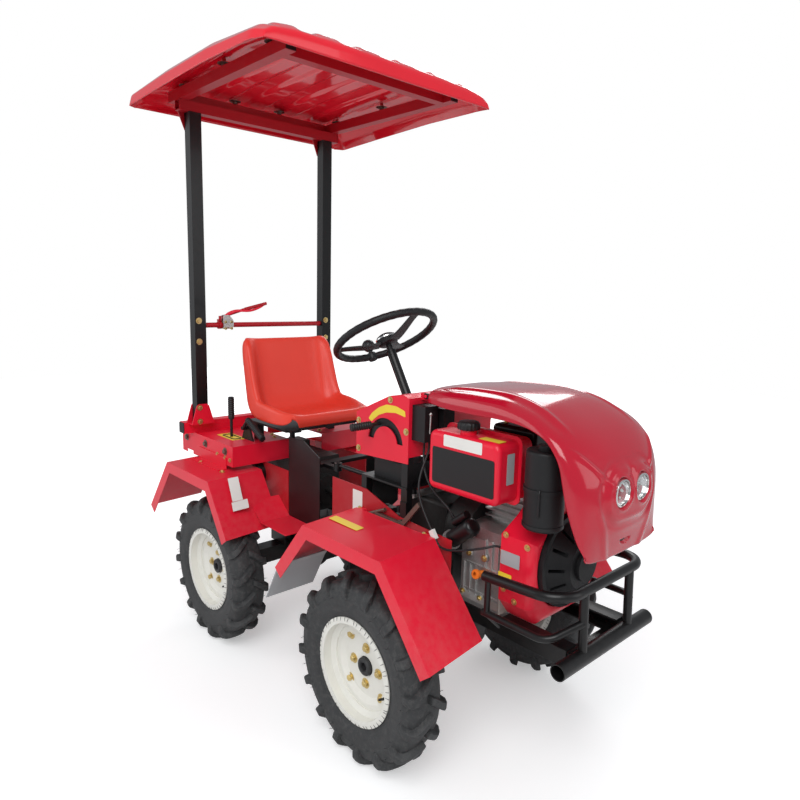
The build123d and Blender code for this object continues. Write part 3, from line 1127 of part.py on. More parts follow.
def gear_lever():
    """Upright gear lever through the right deck, with its ribbed grip."""
    x, y, z = -604, -260, DECK_Z - 84 + 7
    stick = rod((x, y, z), (x, y, 880), 6)
    selector = rod((x, y - 8, z), (x, -GEARBOX_HALF, z), 5)
    return stick + rod((x, y, 868), (x, y, 962), 12) + selector


def brake_lever():
    """Parking brake lever on a plate on the right deck."""
    plate = plate_xz([(-560, DECK_Z), (-470, DECK_Z), (-500, 858), (-528, 858)], -236, -230)
    arm = rod((-512, -236, 842), (-512, -262, 842), 8) + rod((-512, -256, 842), (-472, -256, 884), 7)
    return plate + arm + rod((-472, -256, 884), (-346, -262, 826), 12)


PARTS = {}


def add(name, shape):
    """Register one node."""
    PARTS[name] = shape


def build():
    """Every node of the tractor, by name."""
    pieces = {"tyre": tyre(), "rim": rim(), "hub": hub()}
    for end, axle_x in (("front", FRONT_AXLE), ("rear", REAR_AXLE)):
        for side, sign in (("right", -1), ("left", 1)):
            for piece, shape in pieces.items():
                add(f"{piece}_{end}_{side}", on_corner(shape, axle_x, sign))
    for make in (front_side_plates, shaft_slider, shaft_sleeve, engine_shroud, recoil_starter, fuel_tank,
                 fuel_cap, air_cleaner, muffler, starter_motor, lead_connector, engine_lead, console, console_lever, steering_column,
                 steering_box, pitman_arm, drag_link, steering_wheel, hood, headlights, front_bumper, pedal,
                 rear_chassis, rear_side_plates, seat_box, rear_motor, deck_boxes, cross_tube, canopy_posts,
                 canopy_frame, canopy, seat, seat_pan):
        add(make.__name__, make())
    add("front_chassis", front_chassis() + front_uprights())
    add("electrics", battery() + control_box())
    add("starter_lead", lead(STARTER_LEAD))
    add("gear_train", gear_train() + front_joint_fork())
    add("gearbox", gearbox() + rear_joint_fork())
    add("hand_bar", hand_bar() + hand_lever())
    add("deck_levers", gear_lever() + brake_lever())
    add("front_axle", axle(FRONT_AXLE) + gear_case(FRONT_AXLE, -1))
    add("rear_axle", axle(REAR_AXLE) + gear_case(REAR_AXLE, 1))
    add("engine_block", engine_block() + tank_bracket())
    add("front_fenders", both(front_fender()))
    add("rear_fenders", both(rear_fender() + floor_plate()))
    add("mud_flaps", both(mud_flap()))


if __name__ == "__main__":
    os.makedirs("parts", exist_ok=True)
    build()
    for name, shape in PARTS.items():
        export_step(Pos(FRAME_SHIFT, 0, 0) * shape, f"parts/{name}.step")
        print(name, round(shape.volume / 1000), "cm3")
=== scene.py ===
"""Looks of a centre-pivot mini tractor: painted sheet metal, moulded skins, lugged tyres and an air-cooled engine.

Sizes below are millimetres from the centre pivot (x forward, y left, z up from the ground).
in_row turns them into metres in the row frame when a mesh is made.
"""

import json
from functools import partialmethod

import bmesh
import bpy
import numpy as np
from mathutils import Matrix


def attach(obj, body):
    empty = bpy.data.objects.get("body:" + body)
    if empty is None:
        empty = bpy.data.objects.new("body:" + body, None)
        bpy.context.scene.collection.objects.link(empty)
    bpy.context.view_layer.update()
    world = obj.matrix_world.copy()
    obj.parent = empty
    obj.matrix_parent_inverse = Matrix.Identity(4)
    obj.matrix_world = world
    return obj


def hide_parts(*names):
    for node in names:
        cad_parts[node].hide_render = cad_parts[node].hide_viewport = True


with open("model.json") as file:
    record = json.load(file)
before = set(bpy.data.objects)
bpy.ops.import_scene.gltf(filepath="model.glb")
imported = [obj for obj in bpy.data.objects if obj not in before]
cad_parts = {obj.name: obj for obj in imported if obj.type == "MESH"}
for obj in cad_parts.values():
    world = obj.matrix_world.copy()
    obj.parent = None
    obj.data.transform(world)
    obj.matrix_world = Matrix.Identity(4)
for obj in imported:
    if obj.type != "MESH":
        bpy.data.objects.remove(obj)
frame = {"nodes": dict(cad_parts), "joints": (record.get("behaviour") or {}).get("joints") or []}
NODES = frame["nodes"]
SHIFT = next(joint["pos_m"][0] for joint in frame["joints"] if joint["name"] == "articulation")
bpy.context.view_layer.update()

TAU = 2 * np.pi
FORWARD, LEFT, RIGHT, UP = (1, 0, 0), (0, 1, 0), (0, -1, 0), (0, 0, 1)
TYRE_R, TREAD_R, LUGS = 290, 272, 16
AXLE_X, AXLE_Z = 474, TYRE_R
CORNERS = {f"{end}_{hand}": (x, side) for end, x in (("front", AXLE_X), ("rear", -AXLE_X))
           for hand, side in (("right", -1), ("left", 1))}


# Shader maths

def feed(tree, socket, value):
    """Links a shader value to the socket, or writes a plain one there."""
    if isinstance(value, Value):
        tree.links.new(value.socket, socket)
    else:
        socket.default_value = value


def opaque(value):
    """A plain colour with its alpha; anything else as it is."""
    return (*value, 1) if isinstance(value, tuple) else value


class Value:
    """One shader value; arithmetic on it adds the Math nodes that work it out."""

    def __init__(self, tree, socket):
        self.tree, self.socket = tree, socket

    def work(self, operation, *others, swap=False):
        """The Math node of that operation on this value and the others."""
        node = self.tree.nodes.new("ShaderNodeMath")
        node.operation = operation
        for place, term in enumerate((*others, self) if swap else (self, *others)):
            feed(self.tree, node.inputs[place], term)
        return Value(self.tree, node.outputs[0])

    __add__ = __radd__ = partialmethod(work, "ADD")
    __sub__ = partialmethod(work, "SUBTRACT")
    __rsub__ = partialmethod(work, "SUBTRACT", swap=True)
    __mul__ = __rmul__ = partialmethod(work, "MULTIPLY")
    __truediv__ = partialmethod(work, "DIVIDE")
    __pow__ = partialmethod(work, "POWER")

    def clip(self):
        """Held between 0 and 1."""
        return self.work("MAXIMUM", 0.0).work("MINIMUM", 1.0)

    def step(self, edge, width):
        """0 below the edge and 1 above it, with a straight ramp that wide."""
        return ((self - (edge - width / 2)) / width).clip()


class Finish:
    """A material whose nodes come from expressions."""

    def __init__(self, name):
        self.material = bpy.data.materials.new(name)
        self.material.use_nodes = True
        self.tree = self.material.node_tree
        self.shader = next(n for n in self.tree.nodes if n.type == "BSDF_PRINCIPLED")

    def node(self, kind, output=0, **sockets):
        """One output of a new node of that type, its sockets named with _ for a space."""
        made = self.tree.nodes.new("ShaderNode" + kind)
        for key, value in sockets.items():
            feed(self.tree, made.inputs[key.replace("_", " ")], value)
        return Value(self.tree, made.outputs[output])

    def place(self):
        """Where the point is on the object, in metres."""
        return self.node("TexCoord", output=3)

    def axis(self, which):
        """One coordinate of the point: 0, 1 or 2."""
        return self.node("SeparateXYZ", output=which, Vector=self.place())

    def noise(self, scale, detail=2.0, rough=0.5, stretch=None):
        """Noise with that many waves a metre, 0 to 1, stretched along an axis where asked."""
        at = self.place()
        if stretch:
            at = self.node("Mapping", Vector=at, Scale=stretch)
        return self.node("TexNoise", Vector=at, Scale=scale, Detail=detail, Roughness=rough)

    def blend(self, first, second, amount):
        """One colour turning into another as amount goes from 0 to 1."""
        made = self.tree.nodes.new("ShaderNodeMix")
        made.data_type = "RGBA"
        for place, value in ((0, amount), (6, first), (7, second)):
            feed(self.tree, made.inputs[place], opaque(value))
        return Value(self.tree, made.outputs[2])

    def bump(self, height, metres):
        """Raises the surface by height times that many metres."""
        normal = self.node("Bump", Height=height, Distance=metres, Strength=1.0)
        self.set(Normal=normal)

    def set(self, **sockets):
        """Sets the shader's own sockets, named with _ for a space."""
        for key, value in sockets.items():
            feed(self.tree, self.shader.inputs[key.replace("_", " ")], opaque(value))


def shade(colour, factor):
    return tuple(min(1.0, c * factor) for c in colour)


DUST = (0.42, 0.37, 0.31)


def paint(name, colour, rough, coat, dust=0.25):
    """Sprayed paint: slow drift of tone, fine orange peel, and dust that thickens towards the ground."""
    f = Finish(name)
    drift = f.noise(5.0, 3.0)
    grime = f.noise(38.0, 6.0, 0.65)
    height = f.axis(2)
    low = (1 - height.step(0.42, 0.7)) * dust
    tone = f.blend(shade(colour, 0.90), shade(colour, 1.08), drift)
    tone = f.blend(tone, DUST, (low * grime.step(0.52, 0.35)).clip())
    f.set(Base_Color=tone, Coat_Weight=coat, Coat_Roughness=0.08, Specular_IOR_Level=0.35)
    f.set(Roughness=(rough + 0.12 * grime + 0.3 * low).clip())
    f.bump(f.noise(260.0, 2.0), 0.00004)
    return f.material


def moulded_gloss(name, colour):
    """Glossy moulded skin: deep colour under a clear coat, with the slow waves of a thin panel."""
    f = Finish(name)
    drift = f.noise(3.0, 2.0)
    scuff = f.noise(24.0, 8.0, 0.7, (1.0, 0.25, 1.0))
    f.set(Base_Color=f.blend(shade(colour, 0.88), shade(colour, 1.08), drift))
    f.set(Coat_Weight=0.5, Coat_Roughness=0.03, Specular_IOR_Level=0.35)
    f.set(Roughness=(0.16 + 0.16 * scuff.step(0.66, 0.2)).clip())
    f.bump(f.noise(7.0, 2.0) + 0.02 * f.noise(420.0, 2.0), 0.0012)
    return f.material


def moulded_matte(name, colour, grain, depth, rough=0.5):
    """Grained moulded plastic: pebbled skin with slightly shiny peaks."""
    f = Finish(name)
    pebble = f.node("TexVoronoi", Vector=f.place(), Scale=grain)
    drift = f.noise(7.0, 3.0)
    f.set(Base_Color=f.blend(shade(colour, 0.90), shade(colour, 1.08), drift))
    f.set(Roughness=(rough + 0.14 * pebble).clip(), Specular_IOR_Level=0.35)
    f.bump(pebble, depth)
    return f.material


def rubber(name, colour):
    """Tyre rubber: grey bloom, lighter grey patches laid by noise, and a fine sandy skin."""
    f = Finish(name)
    bloom = f.noise(16.0, 6.0, 0.62)
    sand = f.noise(520.0, 3.0, 0.6)
    scuffed = f.noise(70.0, 8.0, 0.75).step(0.56, 0.16)
    tone = f.blend(shade(colour, 0.75), shade(colour, 1.7), bloom)
    f.set(Base_Color=f.blend(tone, (0.16, 0.155, 0.15), 0.30 * scuffed), Roughness=(0.58 + 0.25 * scuffed).clip())
    f.bump(sand + 0.5 * bloom, 0.0004)
    return f.material


def casting(name, colour, metallic, rough):
    """Cast metal: coarse sandy skin with rougher patches laid by noise."""
    f = Finish(name)
    sand = f.noise(170.0, 5.0, 0.6)
    patch = f.noise(14.0, 4.0, 0.6).step(0.55, 0.25)
    f.set(Base_Color=f.blend(shade(colour, 0.72), shade(colour, 1.12), sand), Metallic=metallic)
    f.set(Roughness=(rough + 0.20 * patch).clip())
    f.bump(sand, 0.0005)
    return f.material


def worked_metal(name, colour, rough, stretch=(1.0, 12.0, 12.0)):
    """Drawn or brushed metal: fine lines along one direction and faint tarnish."""
    f = Finish(name)
    lines = f.noise(140.0, 4.0, 0.6, stretch)
    tarnish = f.noise(20.0, 5.0, 0.6)
    f.set(Base_Color=f.blend(shade(colour, 0.7), shade(colour, 1.1), tarnish), Metallic=1.0)
    f.set(Roughness=(rough + 0.2 * lines).clip())
    f.bump(lines, 0.00008)
    return f.material


def clear_glass(name):
    f = Finish(name)
    f.set(Base_Color=(0.95, 0.97, 0.98), Transmission_Weight=1.0, IOR=1.5, Roughness=0.02)
    return f.material


def seat_plastic(name):
    """Moulded orange-red plastic: faint flow marks, slow waves and a fine grain."""
    f = Finish(name)
    drift = f.noise(4.0, 3.0)
    scuff = f.noise(60.0, 7.0, 0.7, (1.0, 3.0, 1.0)).step(0.62, 0.2)
    f.set(Base_Color=f.blend((0.72, 0.045, 0.026), (0.82, 0.062, 0.036), drift))
    f.set(Roughness=(0.34 + 0.16 * scuff).clip(), Specular_IOR_Level=0.4)
    f.bump(0.25 * f.noise(900.0, 2.0) + 0.6 * f.noise(9.0, 2.0), 0.00045)
    return f.material


# name, the function that makes it, then that function's own values: the colour first
FINISH_ROWS = [
    ("red_paint", paint, (0.78, 0.008, 0.034), 0.34, 0.18),
    ("crimson_gloss", moulded_gloss, (0.47, 0.004, 0.022)),
    ("canopy_red", moulded_gloss, (0.80, 0.010, 0.026)),
    ("frame_red", paint, (0.42, 0.006, 0.014), 0.36, 0.12),
    ("seat_orange", moulded_matte, (0.80, 0.055, 0.030), 900.0, 0.00025, 0.42),
    ("black_paint", paint, (0.004, 0.004, 0.0045), 0.30, 0.08, 0.04),
    ("dark_plastic", moulded_matte, (0.009, 0.009, 0.010), 1100.0, 0.00018, 0.38),
    ("tyre_rubber", rubber, (0.022, 0.023, 0.024)),
    ("flap_rubber", moulded_matte, (0.50, 0.51, 0.52), 500.0, 0.0002, 0.62),
    ("cream_paint", paint, (0.80, 0.79, 0.73), 0.28, 0.3, 0.10),
    ("hub_iron", casting, (0.055, 0.055, 0.058), 0.6, 0.45),
    ("cast_aluminium", casting, (0.56, 0.56, 0.55), 0.85, 0.36),
    ("gear_iron", casting, (0.035, 0.035, 0.034), 0.3, 0.42),
    ("bright_steel", worked_metal, (0.60, 0.59, 0.57), 0.26),
    ("dull_steel", worked_metal, (0.24, 0.20, 0.17), 0.45),
    ("lamp_glass", clear_glass),
    ("zinc", worked_metal, (0.74, 0.58, 0.26), 0.32, (1.0, 1.0, 1.0)),
    ("chrome", worked_metal, (0.86, 0.86, 0.85), 0.10, (1.0, 1.0, 1.0)),
    ("cable_black", moulded_matte, (0.012, 0.012, 0.013), 1500.0, 0.00006, 0.34),
    ("white_plastic", moulded_matte, (0.80, 0.80, 0.77), 1500.0, 0.00005, 0.36),
    ("orange_plastic", moulded_matte, (0.86, 0.20, 0.02), 1500.0, 0.00005, 0.34),
    ("yellow_label", moulded_matte, (0.86, 0.66, 0.05), 2500.0, 0.00002, 0.30),
    ("white_label", moulded_matte, (0.78, 0.78, 0.74), 2500.0, 0.00002, 0.30),
    ("grey_label", moulded_matte, (0.38, 0.39, 0.40), 2500.0, 0.00002, 0.30),
    ("gasket", moulded_matte, (0.30, 0.29, 0.26), 1500.0, 0.00005, 0.6),
    ("seat_plastic", seat_plastic),
]
FINISHES = {name: make(name, *values) for name, make, *values in FINISH_ROWS}
# the record's slot of each finish that isn't named after its own
SLOT_OF = {**dict.fromkeys(["zinc", "chrome", "dull_steel"], "bright_steel"), "canopy_red": "crimson_gloss",
           **dict.fromkeys(["cable_black", "gasket"], "dark_plastic"),
           **dict.fromkeys(["yellow_label", "white_label", "grey_label"], "white_plastic"),
           **dict.fromkeys(["seat_plastic", "orange_plastic"], "seat_orange")}
for node in NODES.values():
    slot_name = node.data.materials[0].name.split(".")[0]
    if slot_name in FINISHES:
        node.material_slots[0].material = FINISHES[slot_name]


# Camera and lights

def placed(axes, origin):
    """A world matrix with those three axes and that origin."""
    return Matrix([[*row, place] for row, place in zip(np.column_stack(axes), origin)] + [[0, 0, 0, 1]])


SENSOR, FOCAL_PIXELS, PICTURE_PIXELS = 36, 647.26, 800
CAMERA_AT = np.array([1.862, -1.567, 1.414]) + [SHIFT, 0, 0]
YAW, PITCH, ROLL = (np.radians(a) for a in (137.242, -9.407, 1.46))
ahead = np.array([np.cos(YAW) * np.cos(PITCH), np.sin(YAW) * np.cos(PITCH), np.sin(PITCH)])
level = np.array([np.sin(YAW), -np.cos(YAW), 0.0])
above = np.cross(level, ahead)
right = np.cos(ROLL) * level + np.sin(ROLL) * above
up = -np.sin(ROLL) * level + np.cos(ROLL) * above
camera_data = bpy.data.cameras.new("camera")
camera_data.sensor_width = SENSOR
camera_data.lens = SENSOR * FOCAL_PIXELS / PICTURE_PIXELS
camera = bpy.data.objects.new("camera", camera_data)
camera.matrix_world = placed([right, up, -ahead], CAMERA_AT)
bpy.context.scene.collection.objects.link(camera)
bpy.context.scene.camera = camera


def soft_lamp(name, place, aim, size, watts):
    """A white area lamp of that width and height, in metres, turned to its aim."""
    data = bpy.data.lights.new(name, "AREA")
    data.shape, data.size, data.size_y, data.energy = "RECTANGLE", *size, watts
    lamp = bpy.data.objects.new(name, data)
    direction = np.array(aim, float) - place
    from_z = -direction / np.linalg.norm(direction)
    side = np.cross(UP, from_z)
    side /= np.linalg.norm(side)
    lamp.matrix_world = placed([side, np.cross(from_z, side), from_z], place)
    bpy.context.scene.collection.objects.link(lamp)


soft_lamp("key", (2.6, -3.2, 4.2), (0.1, 0, 0.8), (3.2, 3.2), 165)
soft_lamp("fill", (-3.4, -3.6, 2.4), (-0.2, 0, 0.9), (3.0, 3.0), 42)
soft_lamp("front", (4.6, 1.6, 2.4), (0.4, 0, 0.7), (2.4, 3.0), 34)
soft_lamp("rim", (-2.6, 3.8, 4.0), (-0.2, 0, 1.0), (3.0, 2.0), 80)

world = bpy.data.worlds.new("studio")
bpy.context.scene.world = world
world.use_nodes = True
tree = world.node_tree
tree.nodes.clear()
seen, soft, white, either, choose, out = (tree.nodes.new("ShaderNode" + kind) for kind in (
    "LightPath", "Background", "Background", "Math", "MixShader", "OutputWorld"))
for node, colour, strength in ((soft, (0.92, 0.95, 1.0, 1), 0.42), (white, (1, 1, 1, 1), 1.0)):
    node.inputs["Color"].default_value, node.inputs["Strength"].default_value = colour, strength
either.operation = "MAXIMUM"
for source, target in ((seen.outputs["Is Camera Ray"], either.inputs[0]), (either.outputs[0], choose.inputs[0]),
                       (seen.outputs["Is Transmission Ray"], either.inputs[1]), (soft.outputs[0], choose.inputs[1]),
                       (white.outputs[0], choose.inputs[2]), (choose.outputs[0], out.inputs[0])):
    tree.links.new(source, target)
bpy.context.scene.view_settings.view_transform = "Standard"


# Shapes

def in_row(points):
    """Millimetres from the pivot to metres in the row frame."""
    return np.asarray(points, float) * 0.001 + [SHIFT, 0, 0]


def surface(points, wrap_u=False, wrap_v=False):
    """Quads over a grid of points shaped (m, n, 3), closed round the first or the second direction if asked."""
    points = np.asarray(points, float)
    m, n = points.shape[:2]
    index = np.arange(m * n).reshape(m, n)
    if wrap_u:
        index = np.vstack([index, index[:1]])
    if wrap_v:
        index = np.hstack([index, index[:, :1]])
    quads = np.stack([index[:-1, :-1], index[1:, :-1], index[1:, 1:], index[:-1, 1:]], -1).reshape(-1, 4)
    return points.reshape(-1, 3), quads.tolist()


def capped(points, wrap_v=True):
    """A surface over a grid of points with its first and last rows filled."""
    skin, quads = surface(points, wrap_v=wrap_v)
    m, n = np.shape(points)[:2]
    return skin, quads + [list(range(n))[::-1], list(range((m - 1) * n, m * n))]


def unit(rows):
    """Each row divided by its length."""
    return rows / np.linalg.norm(rows, axis=1, keepdims=True)


def together(*shapes):
    """Several shapes as one list of points and faces."""
    points, faces, base = [], [], 0
    for p, f in shapes:
        points.append(np.asarray(p, float))
        faces += [[i + base for i in face] for face in f]
        base += len(p)
    return np.vstack(points), faces


def prism(outline, depth):
    """A closed outline shaped (n, 3) moved along a vector, with both ends filled."""
    outline, n = np.asarray(outline, float), len(outline)
    side = [[i, (i + 1) % n, (i + 1) % n + n, i + n] for i in range(n)]
    return np.vstack([outline, outline + depth]), side + [list(range(n))[::-1], list(range(n, 2 * n))]


def frames_along(path):
    """Two unit vectors across a path at each point: the flattest direction of the path crossed with its tangent."""
    tangent = unit(np.gradient(path, axis=0))
    spread = np.linalg.svd(path - path.mean(0))[2]
    flat = spread[2] if len(path) > 2 and np.abs(tangent @ spread[2]).max() < 0.9 else spread[1]
    side = unit(np.cross(tangent, flat))
    return side, np.cross(side, tangent)


def tube(path, radius, sides=12, closed=False):
    """A round tube along a path; radius is one number or one per point."""
    path = np.asarray(path, float)
    if closed:
        side, other = (a[1:-1] for a in frames_along(np.vstack([path[-1:], path, path[:1]])))
    else:
        side, other = frames_along(path)
    turn = np.linspace(0, TAU, sides, endpoint=False)
    reach = np.broadcast_to(np.asarray(radius, float), len(path))[:, None, None]
    ring = path[:, None] + reach * (np.cos(turn)[:, None] * side[:, None] + np.sin(turn)[:, None] * other[:, None])
    return surface(ring, wrap_u=True, wrap_v=True) if closed else capped(ring)


def turned(profile, centre=(0, 0, 0), axis=UP, sides=48, closed=False):
    """A lathe shape: profile rows of (radius, distance along the axis) turned about the axis through centre."""
    profile, axis = np.asarray(profile, float), np.asarray(axis, float)
    axis = axis / np.linalg.norm(axis)
    start = np.cross(axis, (0, 0, 1) if abs(axis[2]) < 0.9 else (1, 0, 0))
    start /= np.linalg.norm(start)
    turn = np.linspace(0, TAU, sides, endpoint=False)
    out = np.cos(turn)[:, None] * start + np.sin(turn)[:, None] * np.cross(axis, start)
    points = np.asarray(centre, float) + profile[:, :1, None] * out + profile[:, 1, None, None] * axis
    return surface(points, wrap_u=closed, wrap_v=True)


def many(shape, places, axes):
    """Copies of a shape drawn along +Z at the origin, one at each place, its Z turned to that axis."""
    base, faces = shape
    places, axes = np.atleast_2d(np.asarray(places, float)), np.atleast_2d(np.asarray(axes, float))
    axes = unit(np.broadcast_to(axes, places.shape))
    helper = np.where(np.abs(axes[:, 2:]) < 0.9, [[0.0, 0.0, 1.0]], [[1.0, 0.0, 0.0]])
    first = unit(np.cross(helper, axes))
    turns = np.stack([first, np.cross(axes, first), axes], -1)
    points = places[:, None] + np.einsum("nij,kj->nki", turns, np.asarray(base, float))
    count = len(base)
    return points.reshape(-1, 3), [[i + k * count for i in face] for k in range(len(places)) for face in faces]


def hexagon_bolt(across, head, washer=True):
    """A bolt head on +Z: chamfered hexagon on a flat washer."""
    r = across / 2 / np.cos(np.pi / 6)
    hexagon = turned([(0, 0), (r, 0), (r, head * 0.8), (r * 0.86, head), (0, head)], sides=6)
    if not washer:
        return hexagon
    lift = np.array([0, 0, 1.6])
    ring = turned([(0, 0), (across * 0.95, 0), (across * 0.95, 1.4), (0, 1.4)], sides=18)
    return together((hexagon[0] + lift, hexagon[1]), ring)


def piece(name, shape, finish, body="front_half", replaces=(), smooth=38, slot=None, bevel=0.0, wall=0.0, shut=True):
    """One mesh object from points and faces: doubles merged, normals out, shaded smooth under an angle.

    Its slot, taken from its finish unless given, is not used."""
    slot = SLOT_OF.get(finish, finish) if slot is None else slot
    points, faces = shape
    mesh = bpy.data.meshes.new(name)
    mesh.from_pydata(in_row(points).tolist(), [], [list(map(int, face)) for face in faces])
    work = bmesh.new()
    work.from_mesh(mesh)
    bmesh.ops.remove_doubles(work, verts=work.verts, dist=1e-5)
    if shut:
        bmesh.ops.recalc_face_normals(work, faces=work.faces)
    work.to_mesh(mesh)
    work.free()
    mesh.polygons.foreach_set("use_smooth", [True] * len(mesh.polygons))
    mesh.set_sharp_from_angle(angle=np.radians(smooth))
    mesh.materials.append(FINISHES[finish])
    obj = bpy.data.objects.new(name, mesh)
    bpy.context.scene.collection.objects.link(obj)
    if wall:
        skin = obj.modifiers.new("wall", "SOLIDIFY")
        skin.thickness, skin.offset = wall * 0.001, -1
    if bevel:
        edge = obj.modifiers.new("edges", "BEVEL")
        edge.width, edge.segments, edge.harden_normals = bevel * 0.001, 2, True
        edge.limit_method, edge.angle_limit = "ANGLE", np.radians(40)
    if replaces:
        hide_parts(*replaces)
    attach(obj, body)
    return obj


def bolts(name, places, axis, across, head, body="front_half", finish="zinc"):
    """Hexagon bolts of that size across the flats and head height, one at each place."""
    piece(name, many(hexagon_bolt(across, head), places, axis), finish, body)


# Curves and grids

def spline(points, count):
    """A smooth curve through points (Catmull-Rom): each span blends its four nearest points with cubic weights."""
    p = np.asarray(points, float)
    p = np.vstack([2 * p[0] - p[1], p, 2 * p[-1] - p[-2]])
    spans = len(p) - 3
    t = np.linspace(0, spans, count)
    i = np.minimum(t.astype(int), spans - 1)
    f = (t - i)[:, None]
    a, b, c, d = p[i], p[i + 1], p[i + 2], p[i + 3]
    return 0.5 * (2 * b + (c - a) * f + (2 * a - 5 * b + 4 * c - d) * f ** 2 + (3 * b - a - 3 * c + d) * f ** 3)


def softened(points, radius, steps=5, closed=False):
    """A line with each corner swapped for a parabola that starts and ends radius away from it."""
    p = np.asarray(points, float)
    if closed:
        p = np.vstack([p[-1:], p, p[:1]])
    before, after = p[:-2] - p[1:-1], p[2:] - p[1:-1]
    long_before, long_after = (np.linalg.norm(a, axis=1, keepdims=True) for a in (before, after))
    reach = np.minimum(radius, 0.48 * np.minimum(long_before, long_after))
    start, stop = p[1:-1] + reach * before / long_before, p[1:-1] + reach * after / long_after
    t = np.linspace(0, 1, steps)[None, :, None]
    curves = (1 - t) ** 2 * start[:, None] + 2 * t * (1 - t) * p[1:-1, None] + t ** 2 * stop[:, None]
    curves = curves.reshape(-1, p.shape[1])
    return curves if closed else np.vstack([p[:1], curves, p[-1:]])


def rounded(outline, radius, steps=5):
    """A flat closed outline with its corners softened where a radius is given."""
    return softened(outline, radius, steps, closed=True) if radius else np.asarray(outline, float)


def sheet(axis, outline, low, high, radius=0.0):
    """A flat outline made solid between two places along x or y (axis 0 or 1), in the other two coordinates."""
    return prism(np.insert(rounded(outline, radius), axis, low, axis=1), (high - low) * np.eye(3)[axis])


def patch(corners, lift, thick, radius):
    """A thin plate on four corners, rounded, raised by lift along its normal."""
    c = np.asarray(corners, float)
    u, v = c[1] - c[0], c[3] - c[0]
    normal = np.cross(u, v)
    normal /= np.linalg.norm(normal)
    wide, tall = np.linalg.norm(u), np.linalg.norm(v)
    flat = rounded([(0, 0), (wide, 0), (wide, tall), (0, tall)], radius)
    points = c[0] + flat[:, :1] * u / wide + flat[:, 1:] * v / tall + normal * lift
    return prism(points, normal * thick)


def both(shape):
    """The shape and its mirror image in the middle plane."""
    points, faces = shape
    return together(shape, (np.asarray(points, float) * [1, -1, 1], [face[::-1] for face in faces]))


def box(x0, x1, y0, y1, z0, z1):
    return prism([(x0, y0, z0), (x1, y0, z0), (x1, y1, z0), (x0, y1, z0)], (0, 0, z1 - z0))


def bar(a, b, radius, sides=16):
    """A straight round bar, with a middle point that its sections need."""
    return tube([a, np.add(a, b) / 2, b], radius, sides)


def rectangle(low, high):
    """Corners of the flat rectangle between two points that share one coordinate."""
    low, span = np.asarray(low, float), np.subtract(high, low)
    u, v = np.diag(span)[span != 0]
    return [low, low + u, low + u + v, low + v]


# Wheels

# from the middle plane to the rim's middle, and from there to the disc's outside
RIM_MIDDLE, DISC_OUT = 393.5, 2.5


def tyre_shell():
    """Casing: a closed section of (radius, width) turned about the axle, with a bead rib and two sidewall rings."""
    outer = [(152.8, 50), (160, 52), (168.5, 52.4), (172, 55.5), (176, 55), (180, 58), (192, 61.5), (206, 63.6),
             (222, 64), (226, 65), (230, 64), (246, 61), (256, 57), (264, 49), (269, 36), (271.4, 18), (272, 0)]
    section = outer + [(r, -w) for r, w in outer[-2::-1]]
    inside = [(r - 9 if r > 165 else r + 0.2, w - np.sign(w) * 8) for r, w in section[::-1]]
    return turned(section + inside, axis=LEFT, sides=128, closed=True)


def tyre_lugs():
    """Chevron lugs: a flat-topped bar section carried from the tread's middle past the shoulder.

    Columns of along are width, radius and height; of across, the reach sideways and the share of the height. The
    angle grows with the width as tan(42 degrees) asks."""
    along = np.array([(-6, 270, 17), (-4, 270, 18.2), (8, 270, 19.6), (22, 269.5, 19.8), (36, 268, 20), (46, 265, 20.5),
                      (53, 260, 20), (59, 253, 16), (62, 244, 10), (63.2, 234, 4.5), (63.4, 228, 0.3)])
    tip = np.array([0.72, 0.9, 1, 1, 1.02, 1.04, 1.06, 1.06, 1.04, 0.98, 0.9])
    across = np.array([(-16.5, -4), (-13.6, 0.45), (-12.6, 0.8), (-10.6, 0.97), (-8, 1), (8, 1), (10.6, 0.97),
                       (12.6, 0.8), (13.6, 0.45), (16.5, -4)])
    outward = np.array([0, 0, 0, 0.02, 0.06, 0.2, 0.5, 0.8, 0.95, 1, 1])
    rise = np.where(across[None, :, 1] < 0, -3.0, across[None, :, 1] * along[:, 2:])
    width = along[:, :1] + rise * outward[:, None]
    radius = np.minimum(along[:, 1:2] + rise * np.sqrt(1 - outward[:, None] ** 2), TYRE_R)
    turn = (np.clip(along[:, :1], 0, 52) * 0.82 + across[None, :, 0] * tip[:, None]) / TREAD_R
    pieces = []
    for side in (-1, 1):
        start = TAU / LUGS * (np.arange(LUGS) + side / 4)
        angle = start[:, None, None] + turn
        wide = np.broadcast_to(side * width, angle.shape)
        for lug in np.stack([radius * np.cos(angle), wide, radius * np.sin(angle)], -1):
            skin, faces = capped(lug, False)
            pieces.append((skin, [f[::side] for f in faces]))
    return together(*pieces)


def vent_hairs():
    """Short moulding hairs in three rings on each sidewall, bent a little off the normal."""
    ring = [(166, 57, 52), (226, 64.5, 26), (250, 60.5, 22)]
    spots, ways = [], []
    chance = np.random.default_rng(7)
    for radius, width, count in ring:
        for side in (-1, 1):
            angle = TAU * (np.arange(count) + chance.uniform(-0.3, 0.3, count)) / count
            lean = chance.uniform(-0.5, 0.5, (count, 2))
            if radius < 180:
                lean -= 2.4 * np.column_stack([np.cos(angle), np.sin(angle)])
            spot = [radius * np.cos(angle), np.full(count, side * width), radius * np.sin(angle)]
            spots.append(np.column_stack(spot))
            ways.append(np.column_stack([lean[:, 0], np.full(count, side * 0.8), lean[:, 1]]))
    hair = turned([(0, 0), (0.9, 0), (0.8, 6), (0.5, 11.5), (0, 12)], sides=5)
    return many(hair, np.vstack(spots), np.vstack(ways))


